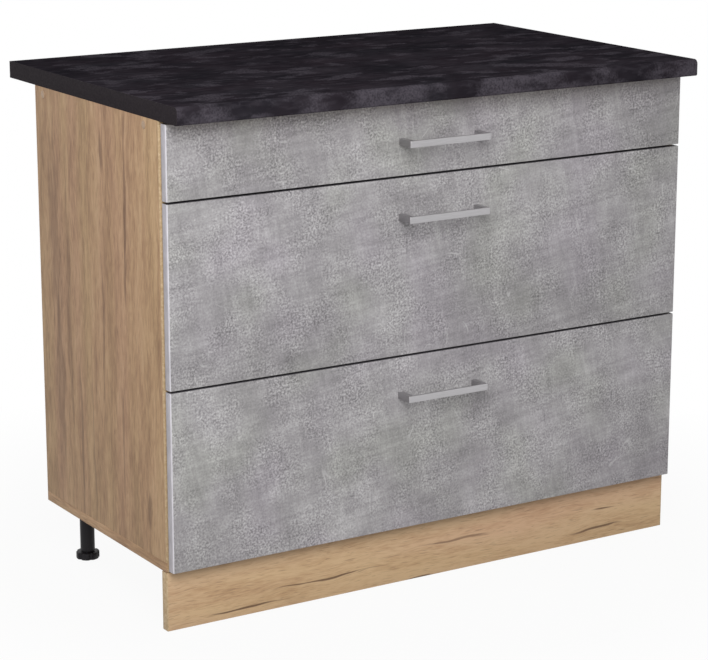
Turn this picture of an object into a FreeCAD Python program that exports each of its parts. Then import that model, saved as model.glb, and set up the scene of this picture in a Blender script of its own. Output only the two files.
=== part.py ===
import FreeCAD, Part

import os

import Sketcher
from FreeCAD import Placement, Rotation, Vector

# A kitchen base cabinet with three drawers, in millimetres.
# The origin is on the floor, under the middle of the worktop. The fronts face -Y and +Z is up.

SIZES = {
    # the carcass
    "cabinet_width": 1000,
    "leg_height": 100,  # floor to the underside of the bottom board
    "carcass_height": 722,
    "carcass_depth": 440,
    "board": 16,  # laminated board of the sides, bottom, rails and plinth
    "rail_depth": 95,
    "rail_drop": 4,  # the rails lie this far below the worktop
    "back_board": 3,
    "back_inset": 2,  # from the carcass's outer edges to the back panels
    "joiner_width": 16,
    "joiner_web": 2,
    "joiner_sheet": 0.8,
    "joiner_play": 0.2,
    # the worktop
    "worktop_depth": 600,
    "worktop_thickness": 28,
    "worktop_overhang": 60,  # past the carcass's front edge
    "worktop_nose": 8,  # radius of the upper front edge
    "worktop_under_nose": 3,  # radius of the lower front edge
    "end_strip": 1,
    # the plinth and the legs
    "plinth_play": 1,  # above and below the plinth board
    "leg_from_side": 50,
    "leg_from_front": 50,
    "leg_from_rear": 48,
    "tube_radius": 12.5,
    "tube_bore": 8,
    "flange_radius": 29,
    "flange_thickness": 4,
    "gusset_reach": 12,
    "gusset_drop": 22,
    "gusset_thickness": 3,
    "gusset_root": 1,  # how far a gusset starts inside the tube's wall
    "leg_screw_offset": 15.5,  # from a leg's axis to each of its screws, along X and along Y
    "leg_screw": 2,
    "leg_screw_head": 3.5,
    "leg_screw_head_height": 1.6,
    "leg_screw_bite": 12,
    "foot_radius": 20,
    "foot_thickness": 9,
    "foot_bevel": 1.5,
    "foot_collar": 2,  # height of the step between the foot and its stem
    "foot_collar_radius": 11,
    "foot_stem": 44,
    "foot_notch": 3.2,  # radius of the notches between the lobes
    "foot_notch_out": 0.8,  # from the foot's rim outwards to a notch's centre
    "thread_play": 0.08,  # between a turning shaft and its bore, on the radius
    "screw_gap": 1,  # between the foot's collar and the tube
    "clip_wall": 2.5,
    "clip_play": 0.2,
    "clip_height": 20,
    "clip_floor": 40,  # floor to the clip's lower edge
    "clip_mouth": 19,
    "clip_plate": 34,
    "clip_plate_thickness": 3,
    "clip_stem": 8,
    # the fronts
    "front_thickness": 16,
    "front_standoff": 4,
    "front_side_reveal": 2,
    "front_top_reveal": 3,
    "front_bottom_reveal": 3,
    "front_gap": 3,
    "top_front_height": 120,
    "front_edge": 2.5,  # radius round the face
    "buffer_radius": 4.2,
    "buffer_play": 0.3,
    "buffer_inset": 20,
    # the handles
    "handle_length": 156,
    "handle_height": 11,
    "handle_bar": 4,
    "handle_projection": 34,
    "handle_leg": 10,
    "handle_drop": 64,  # from the front's upper edge to the handle's middle
    "handle_inner_corner": 3,
    "handle_outer_corner": 1,
    "handle_screw": 2,
    "handle_screw_bite": 10,
    "handle_screw_head": 4.2,
    "handle_screw_head_height": 2.6,
    # the cabinet's runners
    "runner_space": 12.5,  # from the side's inner face to the drawer's steel side
    "runner_setback": 3,
    "runner_rear_gap": 37,  # from a runner's rear end to the carcass's rear edge
    "runner_height": 27,
    "runner_flange": 10.5,
    "runner_sheet": 1.2,
    "runner_mouth": 30,  # length of the upper flange that is cut away for the front roller
    "runner_rise": 11,  # from a front's lower edge to its runner
    "bottom_runner_play": 4,  # from the bottom board to the lowest runner
    "runner_stop": 12,  # height of the tab at a runner's rear end
    "runner_slot_length": 24,  # spare slots between the screws
    "runner_slot_height": 5,
    "runner_screw_first": 37,  # from the carcass's front edge
    "runner_screw_last": 46,  # from the last screw to the runner's rear end
    "runner_screw": 2.4,
    "runner_screw_head": 3.6,
    "runner_screw_head_height": 1.1,
    "runner_screw_bite": 12,
    # the rollers
    "roller_width": 5.6,
    "roller_offset": 3.6,  # from the cabinet's side to the roller
    "roller_bevel": 0.8,
    "roller_dish": 1.2,  # depth of the ring between the hub and the rim, on both faces
    "roller_hub": 5,
    "roller_rim": 2.5,  # thickness of the rim outside the dish
    "roller_play": 0.3,
    "roller_inset": 16,  # from the runner's front end to the front roller's pin
    "rear_roller_inset": 14,  # from the steel side's rear end to its roller's pin
    "roller_rise": 1,  # how far the front roller stands above the runner
    "pin_radius": 2.5,
    "pin_collar": 4.5,
    "pin_head": 4,
    "pin_head_thickness": 0.5,
    # the drawers
    "drawer_sheet": 1,
    "drawer_rear_gap": 12,  # from a drawer's rear end to its runner's
    "drawer_play": 0.5,
    "drawer_foot": 2,  # from the runner's underside to the steel side's lower edge
    "drawer_ledge": 14,
    "ride_flange": 10.5,  # width of the flange that rides on the front roller
    "low_side_height": 86,
    "deep_side_height": 150,
    "hem_height": 8,
    "rear_tab": 22,
    "rear_tab_drop": 10,
    "drawer_board": 16,
    "low_back_height": 65,
    "deep_back_height": 180,
    "bracket_sheet": 1.5,
    "bracket_reach": 32,
    "bracket_height": 40,
    "bracket_lift": 3,
    "railing_radius": 5,
    "railing_foot": 9,
    "railing_foot_thickness": 3,
    "railing_drop": 14,  # from the back board's upper edge to the rod
    "railing_inset": 12,  # from the steel side's inner face to the rod
    # what holds the carcass together
    "rail_screw_front": 47,
    "rail_screw_rear": 31,
    "bottom_screw_shift": 23,  # the bottom screws stand this far behind the runner screws
    "carcass_screw_length": 50,
    "carcass_screw_core": 2.5,
    "carcass_screw_neck": 3.5,
    "carcass_screw_head": 5,
    "carcass_screw_head_height": 3,
    "screw_play": 0.1,
    "cap_radius": 6.5,
    "cap_thickness": 0.8,
    "cap_bevel": 0.4,
    "dowel_radius": 4,
    "dowel_length": 30,
    "dowel_in_side": 11,
    "tip_play": 0.5,  # from the tip of a screw or dowel to the end of its hole
    "rail_dowel_inset": 75,
    "worktop_screw_length": 34,
    "worktop_screw_radius": 2,
    "worktop_screw_head": 5,
    "worktop_screw_head_height": 2.5,
    "worktop_screw_inset": 160,
}
FOOT_LOBES = 6
FOOT_TURN = 39  # degrees that the front left foot's first notch is turned from +X
GUSSETS = 4
SAME_PLACE = 1e-6  # coordinates that differ by less than this are equal

doc = FreeCAD.newDocument("base_cabinet")
sheet = doc.addObject("Spreadsheet::Sheet", "Sizes")
for line, (alias, value) in enumerate(SIZES.items(), start=1):
    sheet.set("A%d" % line, alias)
    sheet.set("B%d" % line, str(value))
    sheet.setAlias("B%d" % line, alias)
doc.recompute()

NODES = []


class Size:
    """A length that the sheet drives: its expression, and what that comes to as drawn."""

    def __init__(self, text, value):
        self.text = text
        self.value = value

    def joined(self, sign, other, value):
        return Size("(%s %s %s)" % (self.text, sign, other.text), value)

    def __add__(self, other):
        other = as_size(other)
        return self.joined("+", other, self.value + other.value)

    def __sub__(self, other):
        other = as_size(other)
        return self.joined("-", other, self.value - other.value)

    def __mul__(self, other):
        other = as_size(other)
        return self.joined("*", other, self.value * other.value)

    def __truediv__(self, other):
        other = as_size(other)
        return self.joined("/", other, self.value / other.value)

    def __neg__(self):
        return Size("(0 - %s)" % self.text, -self.value)


def as_size(number):
    """A plain number as a Size, for sums with lengths of the sheet."""
    if isinstance(number, Size):
        return number
    return Size(str(number), number)


class SheetSizes:
    """Every alias of the sheet as a Size."""

    def __getattr__(self, alias):
        return Size("Sizes." + alias, SIZES[alias])


S = SheetSizes()
ZERO = as_size(0)


# ---- helpers: documents, places, sketches and features ----


def bind(obj, **properties):
    """Ties properties of an object to the sheet."""
    for name, size in properties.items():
        obj.setExpression(name, as_size(size).text)


def place(obj, x=ZERO, y=ZERO, z=ZERO, turn=None):
    """Puts an object at a place that the sheet drives."""
    obj.Placement = Placement(Vector(x.value, y.value, z.value), turn or Rotation())
    for axis, size in zip("xyz", (x, y, z)):
        obj.setExpression("Placement.Base." + axis, size.text)
    return obj


def node(obj, label):
    """Marks an object as one of the cabinet's pieces, under its own name."""
    obj.Label = label
    NODES.append(obj)
    return obj


def new_body(name):
    return doc.addObject("PartDesign::Body", name)


def sketch_on(body, name, role, offset=None):
    """An empty sketch on one of the body's own planes, or at an offset along its normal."""
    sketch = body.newObject("Sketcher::SketchObject", name)
    planes = [feature for feature in body.Origin.OriginFeatures if feature.Role == role]
    sketch.AttachmentSupport = [(planes[0], "")]
    sketch.MapMode = "FlatFace"
    if offset is not None:
        sketch.setExpression("AttachmentOffset.Base.z", offset.text)
    return sketch


def fix_point(sketch, geometry, point, across, up):
    """Holds a point of a sketch at its distances from the origin."""
    for kind, size, axis in (("DistanceX", across, -2), ("DistanceY", up, -1)):
        if size.value == 0:
            sketch.addConstraint(Sketcher.Constraint("PointOnObject", geometry, point, axis))
        else:
            made = sketch.addConstraint(Sketcher.Constraint(kind, geometry, point, size.value))
            sketch.setExpression("Constraints[%d]" % made, size.text)


def draw_outline(sketch, corners):
    """Straight lines from corner to corner, closed, each corner fixed from the sheet."""
    corners = [(as_size(across), as_size(up)) for across, up in corners]
    points = [Vector(across.value, up.value, 0) for across, up in corners]
    count = len(points)
    for index in range(count):
        sketch.addGeometry(Part.LineSegment(points[index], points[(index + 1) % count]))
    for index in range(count):
        after = (index + 1) % count
        sketch.addConstraint(Sketcher.Constraint("Coincident", index, 2, after, 1))
    for index, (across, up) in enumerate(corners):
        fix_point(sketch, index, 1, across, up)


def draw_circle(sketch, across, up, radius):
    """One circle, its centre and radius fixed from the sheet."""
    across, up, radius = as_size(across), as_size(up), as_size(radius)
    centre = Vector(across.value, up.value, 0)
    index = sketch.addGeometry(Part.Circle(centre, Vector(0, 0, 1), radius.value))
    fix_point(sketch, index, 3, across, up)
    made = sketch.addConstraint(Sketcher.Constraint("Radius", index, radius.value))
    sketch.setExpression("Constraints[%d]" % made, radius.text)


def pad(body, name, role, corners, length, offset=None, back=False):
    """Pads an outline along its plane's normal, or against it."""
    sketch = sketch_on(body, name + "_outline", role, offset)
    draw_outline(sketch, corners)
    feature = body.newObject("PartDesign::Pad", name)
    feature.Profile = sketch
    feature.Reversed = back
    bind(feature, Length=length)
    doc.recompute()
    return feature


def boss(body, name, role, across, up, radius, length, offset):
    """Adds a round boss or pin to a body."""
    sketch = sketch_on(body, name + "_circle", role, offset)
    draw_circle(sketch, across, up, radius)
    feature = body.newObject("PartDesign::Pad", name)
    feature.Profile = sketch
    bind(feature, Length=length)
    doc.recompute()
    return feature


def cut(body, name, sketch, depth, back):
    """Pockets a sketch to a depth, or right through, and makes sure that it took material."""
    before = body.Shape.Volume
    feature = body.newObject("PartDesign::Pocket", name)
    feature.Profile = sketch
    feature.Reversed = back
    if depth is None:
        feature.Type = 1
    else:
        bind(feature, Length=depth)
    doc.recompute()
    if not body.Shape.Volume < before:
        raise RuntimeError(name + " cuts nothing")
    return feature


def drill(body, name, role, holes, depth=None, offset=None, back=False):
    """Round holes (across, up, radius) in one plane of a body."""
    sketch = sketch_on(body, name + "_circles", role, offset)
    for across, up, radius in holes:
        draw_circle(sketch, across, up, radius)
    return cut(body, name, sketch, depth, back)


def pocket(body, name, role, corners, depth=None, offset=None, back=False):
    """A straight-sided cut-out."""
    sketch = sketch_on(body, name + "_outline", role, offset)
    draw_outline(sketch, corners)
    return cut(body, name, sketch, depth, back)


def turned(body, name, axis, profile):
    """Spins a profile of (along, radius) corners about the body's own X, Y or Z axis."""
    role, reference = {
        "X": ("XY_Plane", "H_Axis"),
        "Y": ("XY_Plane", "V_Axis"),
        "Z": ("XZ_Plane", "V_Axis"),
    }[axis]
    sketch = sketch_on(body, name + "_profile", role)
    if axis == "X":
        draw_outline(sketch, profile)
    else:
        draw_outline(sketch, [(radius, along) for along, radius in profile])
    feature = body.newObject("PartDesign::Revolution", name)
    feature.Profile = sketch
    feature.ReferenceAxis = (sketch, [reference])
    feature.Angle = 360
    doc.recompute()
    return feature


def edges_at(feature, **places):
    """Names of the straight edges that lie wholly at the given x, y or z of the body."""
    found = []
    for index, edge in enumerate(feature.Shape.Edges, start=1):
        box = edge.BoundBox
        low = {"x": box.XMin, "y": box.YMin, "z": box.ZMin}
        high = {"x": box.XMax, "y": box.YMax, "z": box.ZMax}
        gaps = [max(abs(low[axis] - at), abs(high[axis] - at)) for axis, at in places.items()]
        if max(gaps) < SAME_PLACE:
            found.append("Edge%d" % index)
    return found


def round_edges(body, name, feature, edges, radius):
    """Fillets named edges of a feature."""
    fillet = body.newObject("PartDesign::Fillet", name)
    fillet.Base = (feature, edges)
    bind(fillet, Radius=radius)
    doc.recompute()
    return fillet


def row(body, name, features, axis, length, count):
    """Repeats features along one axis of the body, evenly over a length."""
    pattern = body.newObject("PartDesign::LinearPattern", name)
    pattern.Originals = features
    axes = [feature for feature in body.Origin.OriginFeatures if feature.Role == axis]
    pattern.Direction = (axes[0], [""])
    pattern.Occurrences = count
    bind(pattern, Length=length)
    body.Tip = pattern
    doc.recompute()
    return pattern


def ring(body, name, features, count):
    """Repeats features evenly about the body's Z axis."""
    pattern = body.newObject("PartDesign::PolarPattern", name)
    pattern.Originals = features
    axes = [feature for feature in body.Origin.OriginFeatures if feature.Role == "Z_Axis"]
    pattern.Axis = (axes[0], [""])
    pattern.Angle = 360
    pattern.Occurrences = count
    body.Tip = pattern
    doc.recompute()
    return pattern


def block(name, low, lengths):
    """A plain rectangular board, from its lowest corner and its three lengths."""
    solid = doc.addObject("Part::Box", name)
    bind(solid, Length=lengths[0], Width=lengths[1], Height=lengths[2])
    return place(solid, *low)


def rod(name, radius, length, x, y, z, direction):
    """A plain round bar from a point along a direction."""
    solid = doc.addObject("Part::Cylinder", name)
    bind(solid, Radius=radius, Height=length)
    return place(solid, x, y, z, Rotation(Vector(0, 0, 1), Vector(*direction)))


def fused(name, pieces):
    solid = doc.addObject("Part::MultiFuse", name)
    solid.Shapes = pieces
    return solid


def without(name, base, tool):
    solid = doc.addObject("Part::Cut", name)
    solid.Base = base
    solid.Tool = tool
    return solid


def mirrored(name, source, normal=(1, 0, 0), base_y=ZERO):
    """The same piece on the other side of the cabinet, or of the plane y = base_y."""
    copy = doc.addObject("Part::Mirroring", name)
    copy.Source = source
    copy.Normal = Vector(*normal)
    copy.Base = Vector(0, base_y.value, 0)
    copy.setExpression("Base.y", base_y.text)
    return copy


def group(name, pieces):
    """Like pieces that share a name and stay separate solids."""
    compound = doc.addObject("Part::Compound", name)
    compound.Links = pieces
    return compound


def pair(name, left):
    """A piece of the left side with its mirror image, as one node."""
    return group(name, [left, mirrored(left.Name + "_right", left)])


# ---- where things are ----

half_width = S.cabinet_width / 2
inner_half = half_width - S.board
worktop_front = -(S.worktop_depth / 2)
carcass_front = worktop_front + S.worktop_overhang
carcass_rear = carcass_front + S.carcass_depth
carcass_top = S.leg_height + S.carcass_height
bottom_top = S.leg_height + S.board
panel_height = S.carcass_height - S.board
rail_top = carcass_top - S.rail_drop
rail_bottom = rail_top - S.board
rail_length = S.cabinet_width - S.board * 2
front_inner = carcass_front - S.front_standoff
front_outer = front_inner - S.front_thickness
runner_front = carcass_front + S.runner_setback
runner_length = S.carcass_depth - S.runner_setback - S.runner_rear_gap
drawer_length = S.front_standoff + S.runner_setback + runner_length - S.drawer_rear_gap
leg_front_y = carcass_front + S.leg_from_front
leg_rear_y = carcass_rear - S.leg_from_rear
roller_radius = S.runner_height / 2 - S.runner_sheet - S.roller_play
front_roller_z = S.runner_height + S.roller_rise - roller_radius
rear_roller_z = S.runner_height / 2
side_inner_x = S.runner_space + S.drawer_sheet  # a steel side's inner face, from the cabinet's side

# The three fronts share the carcass's height, and each drawer's runner is set from its front.
deep_front_height = (
    S.carcass_height
    - S.front_top_reveal
    - S.front_bottom_reveal
    - S.front_gap * 2
    - S.top_front_height
) / 2
bottom_front_z = S.leg_height + S.front_bottom_reveal
middle_front_z = bottom_front_z + deep_front_height + S.front_gap
top_front_z = middle_front_z + deep_front_height + S.front_gap
DRAWERS = {
    "top": (top_front_z, S.top_front_height, top_front_z + S.runner_rise),
    "middle": (middle_front_z, deep_front_height, middle_front_z + S.runner_rise),
    "bottom": (bottom_front_z, deep_front_height, bottom_top + S.bottom_runner_play),
}

# Screw and dowel places, measured from the carcass's front edge.
rail_screw_z = rail_top - S.board / 2
rear_screw_y = S.carcass_depth - S.rail_screw_rear
rail_screws_y = (S.rail_screw_front, rear_screw_y)
rail_dowels_y = (S.rail_dowel_inset, S.carcass_depth - S.rail_dowel_inset)
runner_screw_end = S.runner_setback + runner_length - S.runner_screw_last
runner_screw_pitch = (runner_screw_end - S.runner_screw_first) / 2
runner_screws_y = [S.runner_screw_first + runner_screw_pitch * step for step in range(3)]
bottom_screws_y = [y + S.bottom_screw_shift for y in runner_screws_y]
bottom_screw_span = runner_screw_pitch * 2
leg_screw_shifts = (-S.leg_screw_offset, S.leg_screw_offset)
legs_x = (S.leg_from_side, S.cabinet_width - S.leg_from_side)
legs_y = (S.leg_from_front, S.carcass_depth - S.leg_from_rear)
leg_screws_y = [y + shift for y in legs_y for shift in leg_screw_shifts]
core_hole = S.carcass_screw_core + S.screw_play
neck_hole = S.carcass_screw_neck + S.screw_play
head_hole = S.carcass_screw_head + S.screw_play
dowel_hole = S.dowel_radius + S.screw_play
core_depth = S.carcass_screw_length - S.board + S.screw_play
head_depth = S.carcass_screw_head_height


# ---- the carcass ----


def side_panel():
    """The left side stands on the bottom board. It is drilled for everything that it carries."""
    body = new_body("side_panel_left")
    place(body, -half_width, carcass_front, bottom_top)
    face = [(0, 0), (S.carcass_depth, 0), (S.carcass_depth, panel_height), (0, panel_height)]
    pad(body, "side_board", "YZ_Plane", face, S.board)
    rail_z = rail_screw_z - bottom_top
    through = [(y, rail_z, neck_hole) for y in rail_screws_y]
    drill(body, "rail_screw_holes", "YZ_Plane", through, back=True)
    sunk = [(y, rail_z, head_hole) for y in rail_screws_y]
    drill(body, "rail_screw_sinks", "YZ_Plane", sunk, head_depth, back=True)
    dowels = [(y, rail_z, dowel_hole) for y in rail_dowels_y]
    drill(body, "rail_dowel_holes", "YZ_Plane", dowels, S.dowel_in_side + S.tip_play, S.board)
    fixings = [
        (y, runner_z - bottom_top + S.runner_height / 2, S.runner_screw + S.screw_play)
        for _, _, runner_z in DRAWERS.values()
        for y in runner_screws_y
    ]
    drill(body, "runner_screw_holes", "YZ_Plane", fixings, S.runner_screw_bite, S.board)
    below = [(S.board / 2, y, core_hole) for y in bottom_screws_y]
    drill(body, "bottom_screw_holes", "XY_Plane", below, core_depth, back=True)
    return body


def bottom_board():
    """The bottom runs the full width, so its ends show below the sides. The legs hang from it."""
    body = new_body("bottom_panel")
    place(body, -half_width, carcass_front, S.leg_height)
    face = [(0, 0), (S.cabinet_width, 0), (S.cabinet_width, S.carcass_depth), (0, S.carcass_depth)]
    pad(body, "bottom_board", "XY_Plane", face, S.board)
    rows = (S.board / 2, S.cabinet_width - S.board / 2)
    through = [(x, y, neck_hole) for x in rows for y in bottom_screws_y]
    drill(body, "bottom_necks", "XY_Plane", through, back=True)
    sunk = [(x, y, head_hole) for x in rows for y in bottom_screws_y]
    drill(body, "bottom_sinks", "XY_Plane", sunk, head_depth, back=True)
    hole = S.leg_screw + S.screw_play
    legs = [(x + dx, y, hole) for x in legs_x for dx in leg_screw_shifts for y in leg_screws_y]
    drill(body, "leg_screw_holes", "XY_Plane", legs, S.leg_screw_bite + S.tip_play, back=True)
    return body


def top_rail(name, y, screw_y, dowel_y):
    """A rail between the sides. Its ends take a screw and a dowel, its face the worktop screws."""
    body = new_body(name)
    place(body, -inner_half, y, rail_bottom)
    face = [(0, 0), (rail_length, 0), (rail_length, S.rail_depth), (0, S.rail_depth)]
    pad(body, name + "_board", "XY_Plane", face, S.board)
    dowel_depth = S.dowel_length - S.dowel_in_side + S.tip_play
    for end, offset, back in (("left", ZERO, True), ("right", rail_length, False)):
        screw = [(screw_y, S.board / 2, core_hole)]
        drill(body, "%s_screw_%s" % (name, end), "YZ_Plane", screw, core_depth, offset, back)
        dowel = [(dowel_y, S.board / 2, dowel_hole)]
        drill(body, "%s_dowel_%s" % (name, end), "YZ_Plane", dowel, dowel_depth, offset, back)
    ends = (S.worktop_screw_inset, rail_length - S.worktop_screw_inset)
    hole = S.worktop_screw_radius + S.screw_play
    drill(body, name + "_face", "XY_Plane", [(x, S.rail_depth / 2, hole) for x in ends], back=True)
    return body


def worktop_profile(body, name, length):
    """The worktop's section: a rounded upper nose and a smaller radius below it."""
    face = [
        (0, 0),
        (S.worktop_depth, 0),
        (S.worktop_depth, S.worktop_thickness),
        (0, S.worktop_thickness),
    ]
    slab = pad(body, name, "YZ_Plane", face, length)
    upper = edges_at(slab, y=0, z=S.worktop_thickness.value)
    nose = round_edges(body, name + "_nose", slab, upper, S.worktop_nose)
    lower = edges_at(nose, y=0, z=0)
    return round_edges(body, name + "_under_nose", nose, lower, S.worktop_under_nose)


def worktop():
    body = new_body("worktop")
    place(body, -half_width + S.end_strip, worktop_front, carcass_top)
    worktop_profile(body, "slab", S.cabinet_width - S.end_strip * 2)
    first = S.board + S.worktop_screw_inset - S.end_strip
    ends = (first, S.cabinet_width - S.end_strip * 2 - first)
    middle = S.rail_depth / 2
    rows = (S.worktop_overhang + middle, S.worktop_overhang + S.carcass_depth - middle)
    radius = S.worktop_screw_radius + S.screw_play
    holes = [(x, y, radius) for x in ends for y in rows]
    bite = S.worktop_screw_length - S.board - S.rail_drop + S.tip_play
    drill(body, "worktop_screw_holes", "XY_Plane", holes, bite, back=True)
    return body


def end_strip():
    body = new_body("worktop_end_strip_left")
    place(body, -half_width, worktop_front, carcass_top)
    worktop_profile(body, "strip", S.end_strip)
    return body


def back_panels():
    """Two thin boards on the carcass's rear edges, and the H-shaped strip that joins them."""
    width = half_width - S.back_inset - S.joiner_web / 2 - S.joiner_play
    height = S.carcass_height - S.back_inset * 2
    base_z = S.leg_height + S.back_inset
    low = (-half_width + S.back_inset, carcass_rear, base_z)
    left = node(block("back_panel_left", low, (width, S.back_board, height)), "back_panel_left")
    node(mirrored("back_panel_right", left), "back_panel_right")
    web_low = (-(S.joiner_web / 2), carcass_rear - S.joiner_sheet, bottom_top + S.joiner_play)
    inner_height = rail_bottom - bottom_top - S.joiner_play * 2
    deep = S.back_board + S.joiner_sheet
    web = block("joiner_web_part", web_low, (S.joiner_web, deep, inner_height))
    edge = -(S.joiner_width / 2)
    inner_low = (edge, carcass_rear - S.joiner_sheet, bottom_top + S.joiner_play)
    inner = block("joiner_inner", inner_low, (S.joiner_width, S.joiner_sheet, inner_height))
    spine_low = (-(S.joiner_web / 2), carcass_rear, base_z)
    spine = block("joiner_spine", spine_low, (S.joiner_web, S.back_board, height))
    outer_low = (edge, carcass_rear + S.back_board, base_z)
    outer = block("joiner_outer", outer_low, (S.joiner_width, S.joiner_sheet, height))
    node(fused("back_panel_joiner", [web, inner, spine, outer]), "back_panel_joiner")


# ---- the plinth and the legs ----


def plinth():
    height = S.leg_height - S.plinth_play * 2
    low = (-half_width, carcass_front, S.plinth_play)
    return block("plinth_board", low, (S.cabinet_width, S.board, height))


def plinth_clip():
    """A plate on the back of the plinth with a springy C that grips the front leg's tube."""
    x = -half_width + S.leg_from_side
    back_y = carcass_front + S.board
    outer = S.tube_radius + S.clip_play + S.clip_wall
    rest_z = S.clip_floor
    tube = rod("clip_outer", outer, S.clip_height, x, leg_front_y, rest_z, (0, 0, 1))
    stem_low = (x - S.clip_stem / 2, back_y, rest_z)
    stem_length = leg_front_y - back_y - S.tube_radius - S.clip_play
    stem = block("clip_stem_part", stem_low, (S.clip_stem, stem_length, S.clip_height))
    plate_low = (x - S.clip_plate / 2, back_y, rest_z - (S.clip_plate - S.clip_height) / 2)
    plate_lengths = (S.clip_plate, S.clip_plate_thickness, S.clip_plate)
    plate = block("clip_plate_part", plate_low, plate_lengths)
    inside = S.tube_radius + S.clip_play
    bore = rod("clip_bore", inside, S.clip_height, x, leg_front_y, rest_z, (0, 0, 1))
    mouth_low = (x - S.clip_mouth / 2, leg_front_y, rest_z)
    mouth = block("clip_mouth_part", mouth_low, (S.clip_mouth, outer, S.clip_height))
    solid = fused("clip_solid", [tube, stem, plate])
    return without("plinth_clip_left", solid, fused("clip_space", [bore, mouth]))


def leg_tube():
    """A tube under a round flange, stiffened by gussets. It is open below for the foot's stem."""
    body = new_body("leg_tube_left")
    place(body, -half_width + S.leg_from_side, leg_front_y, ZERO)
    low = S.foot_thickness + S.foot_collar + S.screw_gap
    under = S.leg_height - S.flange_thickness
    profile = [
        (low, S.tube_bore),
        (low, S.tube_radius),
        (under, S.tube_radius),
        (under, S.flange_radius),
        (S.leg_height, S.flange_radius),
        (S.leg_height, S.tube_bore),
    ]
    turned(body, "tube", "Z", profile)
    root = S.tube_radius - S.gusset_root
    triangle = [
        (root, under),
        (root, under - S.gusset_drop),
        (S.tube_radius, under - S.gusset_drop),
        (S.tube_radius + S.gusset_reach, under),
    ]
    gusset = pad(body, "gusset", "XZ_Plane", triangle, S.gusset_thickness)
    gusset.Midplane = True
    ring(body, "gussets", [gusset], GUSSETS)
    corner = [(S.leg_screw_offset, S.leg_screw_offset, S.leg_screw + S.screw_play)]
    hole = drill(body, "flange_hole", "XY_Plane", corner, S.flange_thickness, S.leg_height)
    ring(body, "flange_holes", [hole], GUSSETS)
    return body


def foot():
    """A lobed disc with a stem that turns in the tube."""
    body = new_body("foot_front_left")
    turn = Rotation(Vector(0, 0, 1), FOOT_TURN)
    place(body, -half_width + S.leg_from_side, leg_front_y, ZERO, turn)
    stem = S.tube_bore - S.thread_play
    collar_top = S.foot_thickness + S.foot_collar
    profile = [
        (0, 0),
        (0, S.foot_radius - S.foot_bevel),
        (S.foot_bevel, S.foot_radius),
        (S.foot_thickness - S.foot_bevel, S.foot_radius),
        (S.foot_thickness, S.foot_radius - S.foot_bevel),
        (S.foot_thickness, S.foot_collar_radius),
        (collar_top, S.foot_collar_radius),
        (collar_top, stem),
        (collar_top + S.foot_stem, stem),
        (collar_top + S.foot_stem, 0),
    ]
    turned(body, "disc", "Z", profile)
    gap = [(S.foot_radius + S.foot_notch_out, 0, S.foot_notch)]
    notch = drill(body, "notch", "XY_Plane", gap, S.foot_thickness, back=True)
    ring(body, "notches", [notch], FOOT_LOBES)
    return body


def leg_screws():
    """Four short screws go up through each leg's flange into the bottom board."""
    up = (0, 0, 1)
    under = S.leg_height - S.flange_thickness
    shank_length = S.flange_thickness + S.leg_screw_bite
    x = -half_width + S.leg_from_side
    places = [(x + dx, carcass_front + y) for dx in leg_screw_shifts for y in leg_screws_y]
    screws = []
    for index, (x, y) in enumerate(places):
        at = (x, y, under - S.leg_screw_head_height)
        name = "leg_screw_%d" % index
        head = rod(name + "_head", S.leg_screw_head, S.leg_screw_head_height, *at, up)
        shank = rod(name + "_shank", S.leg_screw, shank_length, x, y, under, up)
        screws.append(fused(name, [head, shank]))
    node(pair("leg_screws", group("leg_screws_left", screws)), "leg_screws")


def legs_and_feet():
    """Four legs and feet: the front left one, and its mirror images across the cabinet."""
    middle_y = (leg_front_y + leg_rear_y) / 2
    front = leg_tube()
    rear = mirrored("leg_tube_rear", front, (0, 1, 0), middle_y)
    others = [mirrored("leg_tube_front_right", front), mirrored("leg_tube_rear_right", rear)]
    node(group("leg_tubes", [front, rear] + others), "leg_tubes")
    front_foot = node(foot(), "foot_front_left")
    rear_foot = node(mirrored("foot_rear_left", front_foot, (0, 1, 0), middle_y), "foot_rear_left")
    node(mirrored("foot_front_right", front_foot), "foot_front_right")
    node(mirrored("foot_rear_right", rear_foot), "foot_rear_right")


# ---- screws, caps, dowels and buffers of the carcass ----


def carcass_screw(body, name, axis):
    """A flat-headed screw with a thick neck, drawn from the face of its head inwards."""
    profile = [
        (0, 0),
        (0, S.carcass_screw_head),
        (S.carcass_screw_head_height, S.carcass_screw_neck),
        (S.board, S.carcass_screw_neck),
        (S.board, S.carcass_screw_core),
        (S.carcass_screw_length, S.carcass_screw_core),
        (S.carcass_screw_length, 0),
    ]
    return turned(body, name, axis, profile)


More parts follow.
